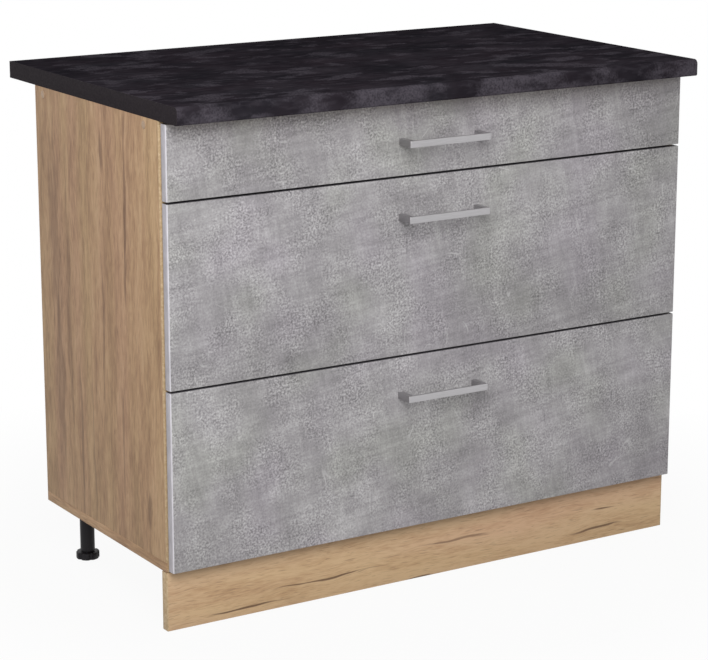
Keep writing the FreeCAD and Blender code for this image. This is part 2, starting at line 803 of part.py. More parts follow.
def carcass_fasteners():
    rail_span = rear_screw_y - S.rail_screw_front
    side_screws = new_body("rail_screws_left")
    place(side_screws, -half_width, carcass_front + S.rail_screw_front, rail_screw_z)
    screw = carcass_screw(side_screws, "rail_screw", "X")
    row(side_screws, "rail_screw_row", [screw], "Y_Axis", rail_span, len(rail_screws_y))
    node(pair("rail_screws", side_screws), "rail_screws")

    caps = new_body("screw_caps_left")
    place(caps, -half_width - S.cap_thickness, carcass_front + S.rail_screw_front, rail_screw_z)
    rim = S.cap_radius - S.cap_bevel
    dome = [(0, 0), (0, rim), (S.cap_thickness, S.cap_radius), (S.cap_thickness, 0)]
    cap = turned(caps, "screw_cap", "X", dome)
    row(caps, "screw_cap_row", [cap], "Y_Axis", rail_span, len(rail_screws_y))
    node(pair("screw_caps", caps), "screw_caps")

    upright = new_body("bottom_screws_left")
    place(upright, -half_width + S.board / 2, carcass_front + bottom_screws_y[0], S.leg_height)
    screw = carcass_screw(upright, "bottom_screw", "Z")
    count = len(bottom_screws_y)
    row(upright, "bottom_screw_row", [screw], "Y_Axis", bottom_screw_span, count)
    node(pair("bottom_screws", upright), "bottom_screws")

    lifting = new_body("worktop_screws_left")
    first_x = -inner_half + S.worktop_screw_inset
    head_z = rail_bottom - S.worktop_screw_head_height
    place(lifting, first_x, carcass_front + S.rail_depth / 2, head_z)
    tip = S.worktop_screw_head_height + S.worktop_screw_length
    profile = [
        (0, 0),
        (0, S.worktop_screw_head),
        (S.worktop_screw_head_height, S.worktop_screw_head),
        (S.worktop_screw_head_height, S.worktop_screw_radius),
        (tip, S.worktop_screw_radius),
        (tip, 0),
    ]
    screw = turned(lifting, "worktop_screw", "Z", profile)
    row(lifting, "worktop_screw_row", [screw], "Y_Axis", S.carcass_depth - S.rail_depth, 2)
    node(pair("worktop_screws", lifting), "worktop_screws")

    start_x = -inner_half - S.dowel_in_side
    dowels = []
    for index, y in enumerate(rail_dowels_y):
        at = (start_x, carcass_front + y, rail_screw_z)
        dowels.append(rod("dowel_%d" % index, S.dowel_radius, S.dowel_length, *at, (1, 0, 0)))
    node(pair("carcass_dowels", group("dowels_left", dowels)), "carcass_dowels")

    buffers = []
    for drawer, (front_z, height, _) in DRAWERS.items():
        length = S.front_standoff - S.buffer_play
        for end, z in (("low", front_z + S.buffer_inset), ("high", front_z + height - S.buffer_inset)):
            at = (-half_width + S.board / 2, carcass_front - length, z)
            name = "buffer_%s_%s" % (drawer, end)
            buffers.append(rod(name, S.buffer_radius, length, *at, (0, 1, 0)))
    node(pair("front_buffers", group("buffers_left", buffers)), "front_buffers")


# ---- the roller runners ----

roller_end = S.roller_offset + S.roller_width
pin_tip = S.roller_offset - S.pin_head_thickness - S.roller_play


def roller_pin(body, name, y, z, wall_x, reach_x):
    """A riveted pin between a wall and a thin head, with a collar that spaces its roller."""
    inward = reach_x.value < wall_x.value
    near, far = (reach_x, wall_x) if inward else (wall_x, reach_x)
    if inward:
        collar_x, collar_end = roller_end + S.roller_play, wall_x
        head_x = reach_x
    else:
        collar_x, collar_end = wall_x, S.roller_offset - S.roller_play
        head_x = reach_x - S.pin_head_thickness
    boss(body, name + "_collar", "YZ_Plane", y, z, S.pin_collar, collar_end - collar_x, collar_x)
    boss(body, name + "_pin", "YZ_Plane", y, z, S.pin_radius, far - near, near)
    boss(body, name + "_head", "YZ_Plane", y, z, S.pin_head, S.pin_head_thickness, head_x)


def cabinet_runner(drawer, runner_z):
    """The left C-shaped runner, screwed to the side. Its upper flange is open at the front, and a
    tab closes its rear end."""
    body = new_body("cabinet_runner_" + drawer)
    place(body, -inner_half, runner_front, runner_z)
    sheet_top = S.runner_height - S.runner_sheet
    section = [
        (0, 0),
        (S.runner_flange, 0),
        (S.runner_flange, S.runner_sheet),
        (S.runner_sheet, S.runner_sheet),
        (S.runner_sheet, sheet_top),
        (S.runner_flange, sheet_top),
        (S.runner_flange, S.runner_height),
        (0, S.runner_height),
    ]
    pad(body, "runner_" + drawer, "XZ_Plane", section, runner_length, back=True)
    tab = [
        (S.runner_sheet, S.runner_sheet),
        (S.runner_flange, S.runner_sheet),
        (S.runner_flange, S.runner_stop),
        (S.runner_sheet, S.runner_stop),
    ]
    pad(body, "stop_" + drawer, "XZ_Plane", tab, S.runner_sheet, -runner_length)
    mouth = [
        (S.runner_sheet, 0),
        (S.runner_flange, 0),
        (S.runner_flange, S.runner_mouth),
        (S.runner_sheet, S.runner_mouth),
    ]
    depth = S.runner_sheet
    pocket(body, "mouth_" + drawer, "XY_Plane", mouth, depth, S.runner_height)
    hole = S.runner_screw + S.screw_play
    holes = [(y - S.runner_setback, S.runner_height / 2, hole) for y in runner_screws_y]
    drill(body, "runner_holes_" + drawer, "YZ_Plane", holes, S.runner_sheet, back=True)
    low = S.runner_height / 2 - S.runner_slot_height / 2
    high = S.runner_height / 2 + S.runner_slot_height / 2
    for index, screw_y in enumerate(runner_screws_y[:-1]):
        near = screw_y - S.runner_setback + runner_screw_pitch / 2 - S.runner_slot_length / 2
        far = near + S.runner_slot_length
        slot = [(near, low), (far, low), (far, high), (near, high)]
        pocket(body, "slot_%s_%d" % (drawer, index), "YZ_Plane", slot, S.runner_sheet, back=True)
    reach = roller_end + S.roller_play + S.pin_head_thickness
    at = (S.roller_inset, front_roller_z)
    roller_pin(body, "front_pin_" + drawer, *at, S.runner_sheet, reach)
    return body


def runner_screw_row(drawer, runner_z):
    """The screws of one left runner, from the head inwards into the side."""
    body = new_body("runner_screws_" + drawer)
    buried = S.runner_screw_bite - S.tip_play
    y = carcass_front + S.runner_screw_first
    place(body, -inner_half - buried, y, runner_z + S.runner_height / 2)
    under_head = buried + S.runner_sheet
    profile = [
        (0, 0),
        (0, S.runner_screw),
        (under_head, S.runner_screw),
        (under_head, S.runner_screw_head),
        (under_head + S.runner_screw_head_height, S.runner_screw_head),
        (under_head + S.runner_screw_head_height, 0),
    ]
    screw = turned(body, "runner_screw_" + drawer, "X", profile)
    count = len(runner_screws_y)
    row(body, "runner_screw_row_" + drawer, [screw], "Y_Axis", runner_screw_pitch * 2, count)
    return body


def roller_pair(name, y, z):
    """A nylon roller and its mirror image: a running bore, a hub and a rim with a dish between."""
    body = new_body(name + "_left")
    place(body, -inner_half + S.roller_offset, y, z)
    bore = S.pin_radius + S.thread_play
    rim = roller_radius - S.roller_bevel
    dish_end = roller_radius - S.roller_rim
    far_dish = S.roller_width - S.roller_dish
    profile = [
        (0, bore),
        (0, S.roller_hub),
        (S.roller_dish, S.roller_hub),
        (S.roller_dish, dish_end),
        (0, dish_end),
        (0, rim),
        (S.roller_bevel, roller_radius),
        (S.roller_width - S.roller_bevel, roller_radius),
        (S.roller_width, rim),
        (S.roller_width, dish_end),
        (far_dish, dish_end),
        (far_dish, S.roller_hub),
        (S.roller_width, S.roller_hub),
        (S.roller_width, bore),
    ]
    turned(body, name + "_wheel", "X", profile)
    return node(pair(name, body), name)


def runners():
    left = [cabinet_runner(drawer, runner_z) for drawer, (_, _, runner_z) in DRAWERS.items()]
    runners_left = node(group("cabinet_runners_left", left), "cabinet_runners_left")
    node(mirrored("cabinet_runners_right", runners_left), "cabinet_runners_right")
    screws = [runner_screw_row(drawer, runner_z) for drawer, (_, _, runner_z) in DRAWERS.items()]
    node(pair("runner_screws", group("runner_screws_left", screws)), "runner_screws")
    for drawer, (_, _, runner_z) in DRAWERS.items():
        y = runner_front + S.roller_inset
        roller_pair("cabinet_rollers_" + drawer, y, runner_z + front_roller_z)


# ---- the drawers ----

board_z = S.drawer_foot + S.drawer_sheet  # the bottom board's underside, above the runner's
floor_z = board_z + S.drawer_board
drawer_rear = front_inner + drawer_length
back_rear = drawer_rear - S.drawer_sheet
back_front = back_rear - S.drawer_board
board_half = inner_half - side_inner_x - S.drawer_play


def drawer_front(drawer, front_z, height):
    """A front with a rounded rim, drilled for its handle."""
    body = new_body("drawer_front_" + drawer)
    width = S.cabinet_width - S.front_side_reveal * 2
    place(body, -half_width + S.front_side_reveal, front_outer, front_z)
    face = [(0, 0), (width, 0), (width, height), (0, height)]
    panel = pad(body, "front_" + drawer, "XZ_Plane", face, S.front_thickness, back=True)
    rim = edges_at(panel, y=0)
    round_edges(body, "front_rim_" + drawer, panel, rim, S.front_edge)
    hole = S.handle_screw + S.screw_play
    spread = (S.handle_length - S.handle_leg) / 2
    handle_z = height - S.handle_drop
    holes = [(width / 2 - spread, handle_z, hole), (width / 2 + spread, handle_z, hole)]
    drill(body, "handle_holes_" + drawer, "XZ_Plane", holes)
    return body


def handle(drawer, handle_z):
    """A flat bow handle: a thin bar with a leg at each end, screwed on from behind."""
    body = new_body("handle_" + drawer)
    low_z = handle_z - S.handle_height / 2
    place(body, -(S.handle_length / 2), front_outer - S.handle_projection, low_z)
    inner_x = S.handle_length - S.handle_leg
    outline = [
        (0, 0),
        (S.handle_length, 0),
        (S.handle_length, S.handle_projection),
        (inner_x, S.handle_projection),
        (inner_x, S.handle_bar),
        (S.handle_leg, S.handle_bar),
        (S.handle_leg, S.handle_projection),
        (0, S.handle_projection),
    ]
    bow = pad(body, "bow_" + drawer, "XY_Plane", outline, S.handle_height)
    bar_y = S.handle_bar.value
    inner = edges_at(bow, x=S.handle_leg.value, y=bar_y) + edges_at(bow, x=inner_x.value, y=bar_y)
    bow = round_edges(body, "bow_inner_" + drawer, bow, inner, S.handle_inner_corner)
    outer = edges_at(bow, x=0, y=0) + edges_at(bow, x=S.handle_length.value, y=0)
    round_edges(body, "bow_outer_" + drawer, bow, outer, S.handle_outer_corner)
    hole = S.handle_screw + S.screw_play
    middle = S.handle_leg / 2
    holes = [(x, S.handle_height / 2, hole) for x in (middle, S.handle_length - middle)]
    depth = S.handle_screw_bite + S.tip_play
    drill(body, "bow_holes_" + drawer, "XZ_Plane", holes, depth, -S.handle_projection, back=True)
    return body


def handle_screws(drawer, handle_z):
    """Two screws from behind the front into the handle's legs."""
    body = new_body("handle_screws_%s_left" % drawer)
    spread = (S.handle_length - S.handle_leg) / 2
    place(body, -spread, front_outer - S.handle_screw_bite, handle_z)
    shank = S.handle_screw_bite + S.front_thickness
    profile = [
        (0, 0),
        (0, S.handle_screw),
        (shank, S.handle_screw),
        (shank, S.handle_screw_head),
        (shank + S.handle_screw_head_height, S.handle_screw_head),
        (shank + S.handle_screw_head_height, 0),
    ]
    turned(body, "handle_screw_" + drawer, "Y", profile)
    return pair("handle_screws_" + drawer, body)


def steel_side(drawer, runner_z, height):
    """The left folded side: a ledge for the bottom board, a flange that rides on the cabinet's
    roller, a hemmed upper edge, a tab for the back board and a pin for the rear roller."""
    body = new_body("drawer_side_left_" + drawer)
    place(body, -inner_half, front_inner, runner_z)
    wall = S.runner_space
    inner = side_inner_x
    ride_z = S.runner_height + S.roller_rise + S.roller_play
    hem_x = wall - S.drawer_sheet
    section = [
        (wall, S.drawer_foot),
        (inner + S.drawer_ledge, S.drawer_foot),
        (inner + S.drawer_ledge, board_z),
        (inner, board_z),
        (inner, height),
        (hem_x, height),
        (hem_x, height - S.hem_height),
        (wall, height - S.hem_height),
        (wall, ride_z + S.drawer_sheet),
        (wall - S.ride_flange, ride_z + S.drawer_sheet),
        (wall - S.ride_flange, ride_z),
        (wall, ride_z),
    ]
    pad(body, "steel_" + drawer, "XZ_Plane", section, drawer_length, back=True)
    tab_low = floor_z + S.bracket_lift
    tab = [
        (wall, tab_low),
        (inner + S.rear_tab, tab_low),
        (inner + S.rear_tab, height - S.rear_tab_drop),
        (wall, height - S.rear_tab_drop),
    ]
    pad(body, "tab_" + drawer, "XZ_Plane", tab, S.drawer_sheet, -drawer_length)
    at = (drawer_length - S.rear_roller_inset, rear_roller_z)
    roller_pin(body, "rear_pin_" + drawer, *at, wall, pin_tip)
    return body


def front_brackets(drawer, runner_z):
    """An angle in each front corner, between the steel side and the front."""
    body = new_body("front_bracket_" + drawer)
    x = -inner_half + side_inner_x
    place(body, x, front_inner, runner_z + floor_z + S.bracket_lift)
    angle = [
        (0, 0),
        (S.bracket_reach, 0),
        (S.bracket_reach, S.bracket_sheet),
        (S.bracket_sheet, S.bracket_sheet),
        (S.bracket_sheet, S.bracket_reach),
        (0, S.bracket_reach),
    ]
    pad(body, "bracket_" + drawer, "XY_Plane", angle, S.bracket_height)
    return pair("front_brackets_" + drawer, body)


def railing(drawer, runner_z, back_height):
    """A rod above each steel side, with a foot on the front and one on the back board."""
    body = new_body("railing_left_" + drawer)
    x = -inner_half + side_inner_x + S.railing_inset
    place(body, x, front_inner, runner_z + floor_z + back_height - S.railing_drop)
    length = back_front - front_inner
    foot_end = S.railing_foot_thickness
    profile = [
        (0, 0),
        (0, S.railing_foot),
        (foot_end, S.railing_foot),
        (foot_end, S.railing_radius),
        (length - foot_end, S.railing_radius),
        (length - foot_end, S.railing_foot),
        (length, S.railing_foot),
        (length, 0),
    ]
    turned(body, "railing_rod_" + drawer, "Y", profile)
    return pair("railings_" + drawer, body)


def drawer_pieces(name, front_z, front_height, runner_z, side_height, back_height):
    """Everything that slides out with one front."""
    handle_z = front_z + front_height - S.handle_drop
    node(drawer_front(name, front_z, front_height), "drawer_front_" + name)
    node(handle(name, handle_z), "handle_" + name)
    node(handle_screws(name, handle_z), "handle_screws_" + name)
    left = node(steel_side(name, runner_z, side_height), "drawer_side_left_" + name)
    node(mirrored("drawer_side_right_" + name, left), "drawer_side_right_" + name)
    low = (-board_half, front_inner, runner_z + board_z)
    lengths = (board_half * 2, back_rear - front_inner, S.drawer_board)
    node(block("drawer_bottom_" + name, low, lengths), "drawer_bottom_" + name)
    low = (-board_half, back_front, runner_z + floor_z)
    lengths = (board_half * 2, S.drawer_board, back_height)
    node(block("drawer_back_" + name, low, lengths), "drawer_back_" + name)
    node(front_brackets(name, runner_z), "front_brackets_" + name)
    rear_y = drawer_rear - S.rear_roller_inset
    roller_pair("drawer_rollers_" + name, rear_y, runner_z + rear_roller_z)


# ---- the whole cabinet ----

left_side = node(side_panel(), "side_panel_left")
node(mirrored("side_panel_right", left_side), "side_panel_right")
node(bottom_board(), "bottom_panel")
front_rail_y = carcass_front
rear_rail_y = carcass_rear - S.rail_depth
front_rail = top_rail("top_rail_front", front_rail_y, S.rail_screw_front, S.rail_dowel_inset)
node(front_rail, "top_rail_front")
rear_screw = S.rail_depth - S.rail_screw_rear
rear_dowel = S.rail_depth - S.rail_dowel_inset
node(top_rail("top_rail_rear", rear_rail_y, rear_screw, rear_dowel), "top_rail_rear")
back_panels()
node(worktop(), "worktop")
left_strip = node(end_strip(), "worktop_end_strip_left")
node(mirrored("worktop_end_strip_right", left_strip), "worktop_end_strip_right")
node(plinth(), "plinth_board")
node(pair("plinth_clips", plinth_clip()), "plinth_clips")
legs_and_feet()
leg_screws()
carcass_fasteners()
runners()
for name, (front_z, front_height, runner_z) in DRAWERS.items():
    low_one = name == "top"
    side = S.low_side_height if low_one else S.deep_side_height
    back = S.low_back_height if low_one else S.deep_back_height
    drawer_pieces(name, front_z, front_height, runner_z, side, back)
    if not low_one:
        node(railing(name, runner_z, back), "railings_" + name)

doc.recompute()
for obj in doc.Objects:
    if "Invalid" in obj.State or "Error" in obj.State:
        raise RuntimeError("%s did not compute: %s" % (obj.Label, obj.State))
for piece in NODES:
    if piece.Shape.isNull() or not piece.Shape.isValid():
        raise RuntimeError(piece.Label + " has no valid shape")

os.makedirs("parts", exist_ok=True)
for piece in NODES:
    piece.Shape.exportStep("parts/%s.step" % piece.Label)
print(len(NODES), "pieces,", sum(len(piece.Shape.Solids) for piece in NODES), "solids")
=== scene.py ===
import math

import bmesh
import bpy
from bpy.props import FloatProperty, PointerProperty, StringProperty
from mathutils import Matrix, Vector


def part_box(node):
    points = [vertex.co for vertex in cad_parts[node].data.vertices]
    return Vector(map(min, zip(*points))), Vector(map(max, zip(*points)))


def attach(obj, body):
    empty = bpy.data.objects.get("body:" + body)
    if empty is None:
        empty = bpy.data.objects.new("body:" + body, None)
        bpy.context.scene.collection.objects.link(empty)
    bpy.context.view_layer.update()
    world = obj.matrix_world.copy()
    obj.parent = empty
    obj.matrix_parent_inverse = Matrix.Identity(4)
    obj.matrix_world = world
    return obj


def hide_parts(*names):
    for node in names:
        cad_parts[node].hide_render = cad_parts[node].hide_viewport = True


bl_info = {
    "name": "Base cabinet with drawers",
    "version": (1, 0, 0),
    "blender": (4, 5, 0),
    "location": "3D View > Sidebar > Cabinet",
    "description": "Models a kitchen base cabinet with three drawers in its finished materials",
    "category": "Object",
}

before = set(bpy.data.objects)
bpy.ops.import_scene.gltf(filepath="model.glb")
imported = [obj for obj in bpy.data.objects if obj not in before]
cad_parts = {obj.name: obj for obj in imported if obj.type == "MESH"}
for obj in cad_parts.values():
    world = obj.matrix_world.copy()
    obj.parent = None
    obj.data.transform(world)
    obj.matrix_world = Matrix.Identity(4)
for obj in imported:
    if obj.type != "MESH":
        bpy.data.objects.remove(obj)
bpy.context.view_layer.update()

MM = 0.001
NEAR = 2e-5  # corners that differ by less than this are at the same place, in metres
DRAWERS = ("top", "middle", "bottom")

# Each kind of screw: the radius and height of its head and the radius of its shank, in millimetres.
SCREWS = {
    "bottom_screws": (5, 3, 2.5),
    "leg_screws": (3.5, 1.6, 2),
    "worktop_screws": (5, 2.5, 2),
    "runner_screws": (3.6, 1.1, 2.4),
    "handle_screws": (4.2, 2.6, 2),
}


# ---- the sizes and colours that a user would change ----


def length(millimetres, name, description):
    """A size as a property, in metres."""
    return FloatProperty(
        name=name,
        description=description,
        default=millimetres * MM,
        min=0,
        precision=5,
        subtype="DISTANCE",
        unit="LENGTH",
    )


def colour(hex_code, name, description):
    """A colour as a property, in sRGB hex."""
    return StringProperty(name=name, description=description, default=hex_code)


class CabinetSizes(bpy.types.PropertyGroup):
    """Sizes that the CAD boxes don't give"""

    board_edge: length(0.4, "Board edge", "Rounding of the laminated boards' edges")
    edge_band: length(2, "Edge band", "Thickness of the band glued to a board's edge")
    front_rim: length(2.5, "Front rim", "Radius of a drawer front's upright edges")
    front_arris: length(1, "Front arris", "Radius of a drawer front's level edges")
    front_room: length(0.3, "Front room", "Added to the gap above and below a drawer front")
    nose: length(8, "Worktop nose", "Radius of the worktop's upper front edge")
    under_nose: length(3, "Worktop lower nose", "Radius of the worktop's lower front edge")
    strip_edge: length(0.3, "Strip edge", "Rounding of the worktop's end strips")
    nail_head: length(2.2, "Nail head", "Radius of the nails in the back panels")
    nail_rim: length(0.3, "Nail rim", "A third of the height of a nail's domed head")
    nail_pitch: length(115, "Nail pitch", "About how far apart the nails are")
    nail_free: length(20, "Nail-free strip", "From the middle of the back to the nearest nail")
    handle_bar: length(4, "Handle bar", "Thickness of a handle's bar")
    handle_leg: length(10, "Handle leg", "Width of a handle's legs")
    handle_inner: length(3, "Handle inner corner", "Radius between the bar and its legs")
    handle_outer: length(1, "Handle outer corner", "Radius of the bar's outer corners")
    handle_edge: length(0.35, "Handle edge", "Rounding of a handle's other edges")
    runner_height: length(27, "Runner height", "Height of a cabinet runner")
    runner_sheet: length(1.2, "Runner sheet", "Thickness of a runner's steel")
    runner_flange: length(10.5, "Runner flange", "Width of a runner's flanges")
    runner_mouth: length(30, "Runner mouth", "Length of the upper flange left open in front")
    runner_stop: length(12, "Runner stop", "Height of the tab at a runner's rear end")
    stop_edge: length(0.2, "Stop edge", "Rounding of that tab's edges")
    fold: length(1.2, "Fold", "Radius of the folds in runners and brackets")
    slot_length: length(24, "Slot length", "Length of the spare slots in a runner")
    slot_height: length(5, "Slot height", "Height of the spare slots in a runner")
    roller_width: length(5.6, "Roller width", "Width of a roller")
    roller_hub: length(5, "Roller hub", "Radius of a roller's hub")
    roller_dish: length(1.2, "Roller dish", "Depth between a roller's hub and its rim")
    roller_rim: length(2.5, "Roller rim", "Thickness of a roller's rim")
    roller_ease: length(0.8, "Roller ease", "Rounding of a roller's running edges")
    roller_edge: length(0.3, "Roller edge", "Rounding of a roller's hub and rim")
    pin: length(2.5, "Pin", "Radius of a roller's pin")
    pin_collar: length(4.5, "Pin collar", "Radius of the collar that spaces a roller")
    pin_head: length(4, "Pin head", "Radius of a pin's riveted head")
    pin_head_height: length(0.5, "Pin head height", "Height of a pin's riveted head")
    pin_room: length(0.3, "Pin room", "From a roller's face to the pin's collar or head")
    rear_pin_room: length(0.8, "Rear pin room", "From a drawer's roller to its pin's head")
    running_gap: length(0.08, "Running gap", "Between a shaft and its bore, on the radius")
    runner_space: length(12.5, "Runner space", "From the cabinet's side to a steel drawer side")
    drawer_sheet: length(1, "Drawer sheet", "Thickness of a drawer side's steel")
    drawer_fold: length(0.45, "Drawer fold", "Radius of a drawer side's folds")
    drawer_foot: length(2, "Drawer foot", "From a runner's underside to the steel side's")
    drawer_ledge: length(14, "Drawer ledge", "Width of the ledge under a drawer's bottom")
    ride: length(28.8, "Ride flange", "Height of the riding flange above the runner's underside")
    hem: length(8, "Hem", "Height of the fold along a steel side's upper edge")
    tab_low: length(22, "Tab", "From a runner's underside to the tab behind the drawer")
    tab_drop: length(10, "Tab drop", "From a steel side's upper edge to its rear tab")
    bracket_sheet: length(1.5, "Bracket sheet", "Thickness of a front bracket")
    bracket_screw: length(3.4, "Bracket screw", "Radius of the screw heads in a bracket")
    bracket_inset: length(10, "Bracket inset", "From a bracket's ends to its screws")
    rod: length(5, "Railing rod", "Radius of a railing")
    rod_foot: length(3, "Railing foot", "Thickness of a railing's feet")
    buffer: length(4.2, "Buffer", "Radius of a clear buffer")
    buffer_inset: length(20, "Buffer inset", "From a front's upper and lower edge to its buffers")
    tube: length(12.5, "Leg tube", "Radius of a leg's tube")
    tube_bore: length(8, "Leg bore", "Radius of a leg's bore")
    flange: length(29, "Leg flange", "Radius of a leg's flange")
    flange_thickness: length(4, "Flange thickness", "Thickness of a leg's flange")
    leg_ease: length(0.6, "Leg ease", "Rounding of a leg's moulded edges")
    gusset_root: length(1, "Gusset root", "How far a gusset starts inside the tube's wall")
    gusset_reach: length(12, "Gusset reach", "How far a gusset stands out under the flange")
    gusset_drop: length(22, "Gusset drop", "Height of a gusset")
    gusset_thickness: length(3, "Gusset thickness", "Thickness of a gusset")
    gusset_edge: length(0.4, "Gusset edge", "Rounding of a gusset's edges")
    foot_thickness: length(12, "Foot thickness", "Height of a foot's disc")
    foot_bevel: length(1.5, "Foot bevel", "Rounding of a foot's rim")
    foot_collar: length(11, "Foot collar", "Radius of the step above a foot's disc")
    foot_step: length(1, "Foot step", "Height of the step above a foot's disc")
    foot_gap: length(0.5, "Foot gap", "From a foot's step to the leg's tube")
    foot_thread: length(3, "Foot thread", "Pitch of a foot's thread, drawn coarse so that it shows")
    foot_thread_depth: length(0.8, "Foot thread depth", "Depth of a foot's thread")
    notch: length(4, "Foot notch", "Radius of the notches between a foot's lobes")
    notch_out: length(0.6, "Notch place", "From a foot's rim outwards to a notch's centre")


class CabinetColours(bpy.types.PropertyGroup):
    """Main colours of the finishes, in sRGB hex"""

    oak_light: colour("#cfb08d", "Oak, light", "Palest streaks of the oak decor")
    oak_middle: colour("#be9b79", "Oak, middle", "Most of the oak decor")
    oak_dark: colour("#9a785d", "Oak, dark", "Darker bands of the oak decor")
    # painted highlight: the oak edge band's colour is paler than the decor, for the light its arris
    # catches
    oak_band_highlight: colour("#cdb592", "Oak band", "Edge band of the oak boards")
    pore: colour("#5d4535", "Oak pore", "Pores, knots and cracks of the oak decor")
    concrete_light: colour("#cac8c9", "Concrete, light", "Palest grains of the concrete decor")
    concrete_middle: colour("#9e9b9d", "Concrete, middle", "Most of the concrete decor")
    concrete_dark: colour("#6f6c6f", "Concrete, dark", "Darkest grains of the concrete decor")
    # painted highlight: the pale colour of the fronts' rounded rims, where they catch the light
    rim_highlight: colour("#dedbe0", "Concrete rim", "Foil stretched round a front's rim")
    worktop: colour("#222025", "Worktop", "Most of the worktop's laminate")
    worktop_cloud: colour("#2e272d", "Worktop cloud", "Brownish clouds in the worktop's laminate")
    worktop_stroke: colour("#5a555d", "Worktop stroke", "Pale grains and strokes in the worktop")
    handle: colour("#bab7ba", "Handle", "Satin metal of the handles")
    steel_coat: colour("#cfd0cf", "Steel coat", "Powder coat of runners and drawer sides")
    melamine: colour("#d3d3d1", "Melamine", "Drawer bottoms and backs")
    black: colour("#1f1d20", "Black plastic", "Legs, feet and plinth clips")


def sizes():
    """The scene's sizes of the cabinet."""
    return bpy.context.scene.cabinet_sizes


def colours():
    """The scene's colours of the cabinet."""
    return bpy.context.scene.cabinet_colours


# ---- modelling helpers ----


def focus(piece):
    """Leaves edit mode and selects one piece alone, or nothing."""
    if bpy.context.object and bpy.context.object.mode != "OBJECT":
        bpy.ops.object.mode_set(mode="OBJECT")
    bpy.ops.object.select_all(action="DESELECT")
    if piece is not None:
        piece.select_set(True)
        bpy.context.view_layer.objects.active = piece


def add(operator, finish_name, scale=(1, 1, 1), **settings):
    """Adds one primitive in a finish and opens it in edit mode, with all of it selected."""
    focus(None)
    operator(**settings)
    piece = bpy.context.object
    piece.scale = scale
    bpy.ops.object.transform_apply(location=True, rotation=True, scale=True)
    piece.data.materials.append(finish(finish_name))
    bpy.ops.object.mode_set(mode="EDIT")
    bpy.ops.mesh.select_mode(type="VERT")
    whole()
    return piece


def whole():
    """Selects all of the open piece."""
    bpy.ops.mesh.select_all(action="SELECT")


def face_outwards():
    """Turns every face of the open piece outwards, and leaves it all selected."""
    whole()
    bpy.ops.mesh.normals_make_consistent(inside=False)


def at(**places):
    """A test that a corner lies at the given x, y or z."""
    wanted = [("xyz".index(axis), place) for axis, place in places.items()]
    return lambda corner: all(abs(corner[axis] - place) < NEAR for axis, place in wanted)


def pick(kind, test):
    """Selects the faces, edges or points whose corners all pass a test, and nothing else."""
    bpy.ops.mesh.select_mode(type=kind)
    bpy.ops.mesh.select_all(action="DESELECT")
    mesh = bpy.context.object.data
    shape = bmesh.from_edit_mesh(mesh)
    elements = {"VERT": shape.verts, "EDGE": shape.edges, "FACE": shape.faces}[kind]
    for element in elements:
        corners = [element] if kind == "VERT" else element.verts
        if all(test(corner.co) for corner in corners):
            element.select_set(True)
    bmesh.update_edit_mesh(mesh)


def soften(test, radius, segments):
    """Rounds the edges whose ends pass a test."""
    pick("EDGE", test)
    bpy.ops.mesh.bevel(offset=radius, segments=segments)


def paint(finish_name, test):
    """Gives the faces whose corners pass a test another finish."""
    piece = bpy.context.object
    if finish_name not in piece.data.materials:
        piece.data.materials.append(finish(finish_name))
    pick("FACE", test)
    piece.active_material_index = piece.data.materials.find(finish_name)
    bpy.ops.object.material_slot_assign()


def aim(axis, along, across=0, up=0):
    """A vector from its length along an axis and along the next two axes in turn."""
    first = "xyz".index(axis)
    vector = Vector()
    vector[first] = along
    vector[(first + 1) % 3] = across
    vector[(first + 2) % 3] = up
    return vector


def split(axis, place):
    """Cuts the whole mesh along a plane square to an axis, and keeps both halves."""
    whole()
    bpy.ops.mesh.bisect(plane_co=aim(axis, place), plane_no=aim(axis, 1))


def draw_out(step):
    """Extrudes what is selected by a step."""
    bpy.ops.mesh.extrude_region_move(TRANSFORM_OT_translate={"value": step})


def cube(low, high, finish_name):
    """A block between two corners, open in edit mode."""
    low, high = Vector(low), Vector(high)
    middle = (low + high) / 2
    return add(bpy.ops.mesh.primitive_cube_add, finish_name, size=1, location=middle, scale=high - low)


def board(node, finish_name):
    """A board of a node's size with its edges eased, open in edit mode."""
    piece = cube(*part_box(node), finish_name)
    bpy.ops.mesh.bevel(offset=sizes().board_edge, segments=2)
    return piece


def band(finish_name, axis, place, inwards):
    """Gives a board's edge a band, which shows its thickness on the faces beside it."""
    index = "xyz".index(axis)
    joint = place + inwards * sizes().edge_band
    split(axis, joint)
    paint(finish_name, lambda corner: (joint - corner[index]) * inwards > -NEAR)


def turned(rings, centre, axis, finish_name, steps=32):
    """A round piece: a circle drawn on from ring to ring, each (along the axis, radius) from the
    centre. Rings that come back to the first one close it, and other ends are filled."""
    centre = Vector(centre)
    turn = aim(axis, 1).to_track_quat("Z", "Y").to_euler()
    along, radius = rings[0]
    place = {"location": centre + aim(axis, along), "rotation": turn}
    circle = bpy.ops.mesh.primitive_circle_add
    piece = add(circle, finish_name, vertices=steps, radius=radius, **place)
    for (along, radius), (before, radius_before) in zip(rings[1:], rings):
        draw_out(aim(axis, along - before))
        scale = radius / radius_before
        bpy.ops.transform.resize(value=(scale,) * 3, center_override=centre + aim(axis, along))
    whole()
    if rings[0] == rings[-1]:
        bpy.ops.mesh.remove_doubles(threshold=NEAR / 4)
    else:
        bpy.ops.mesh.fill_holes(sides=0)
    face_outwards()
    return piece


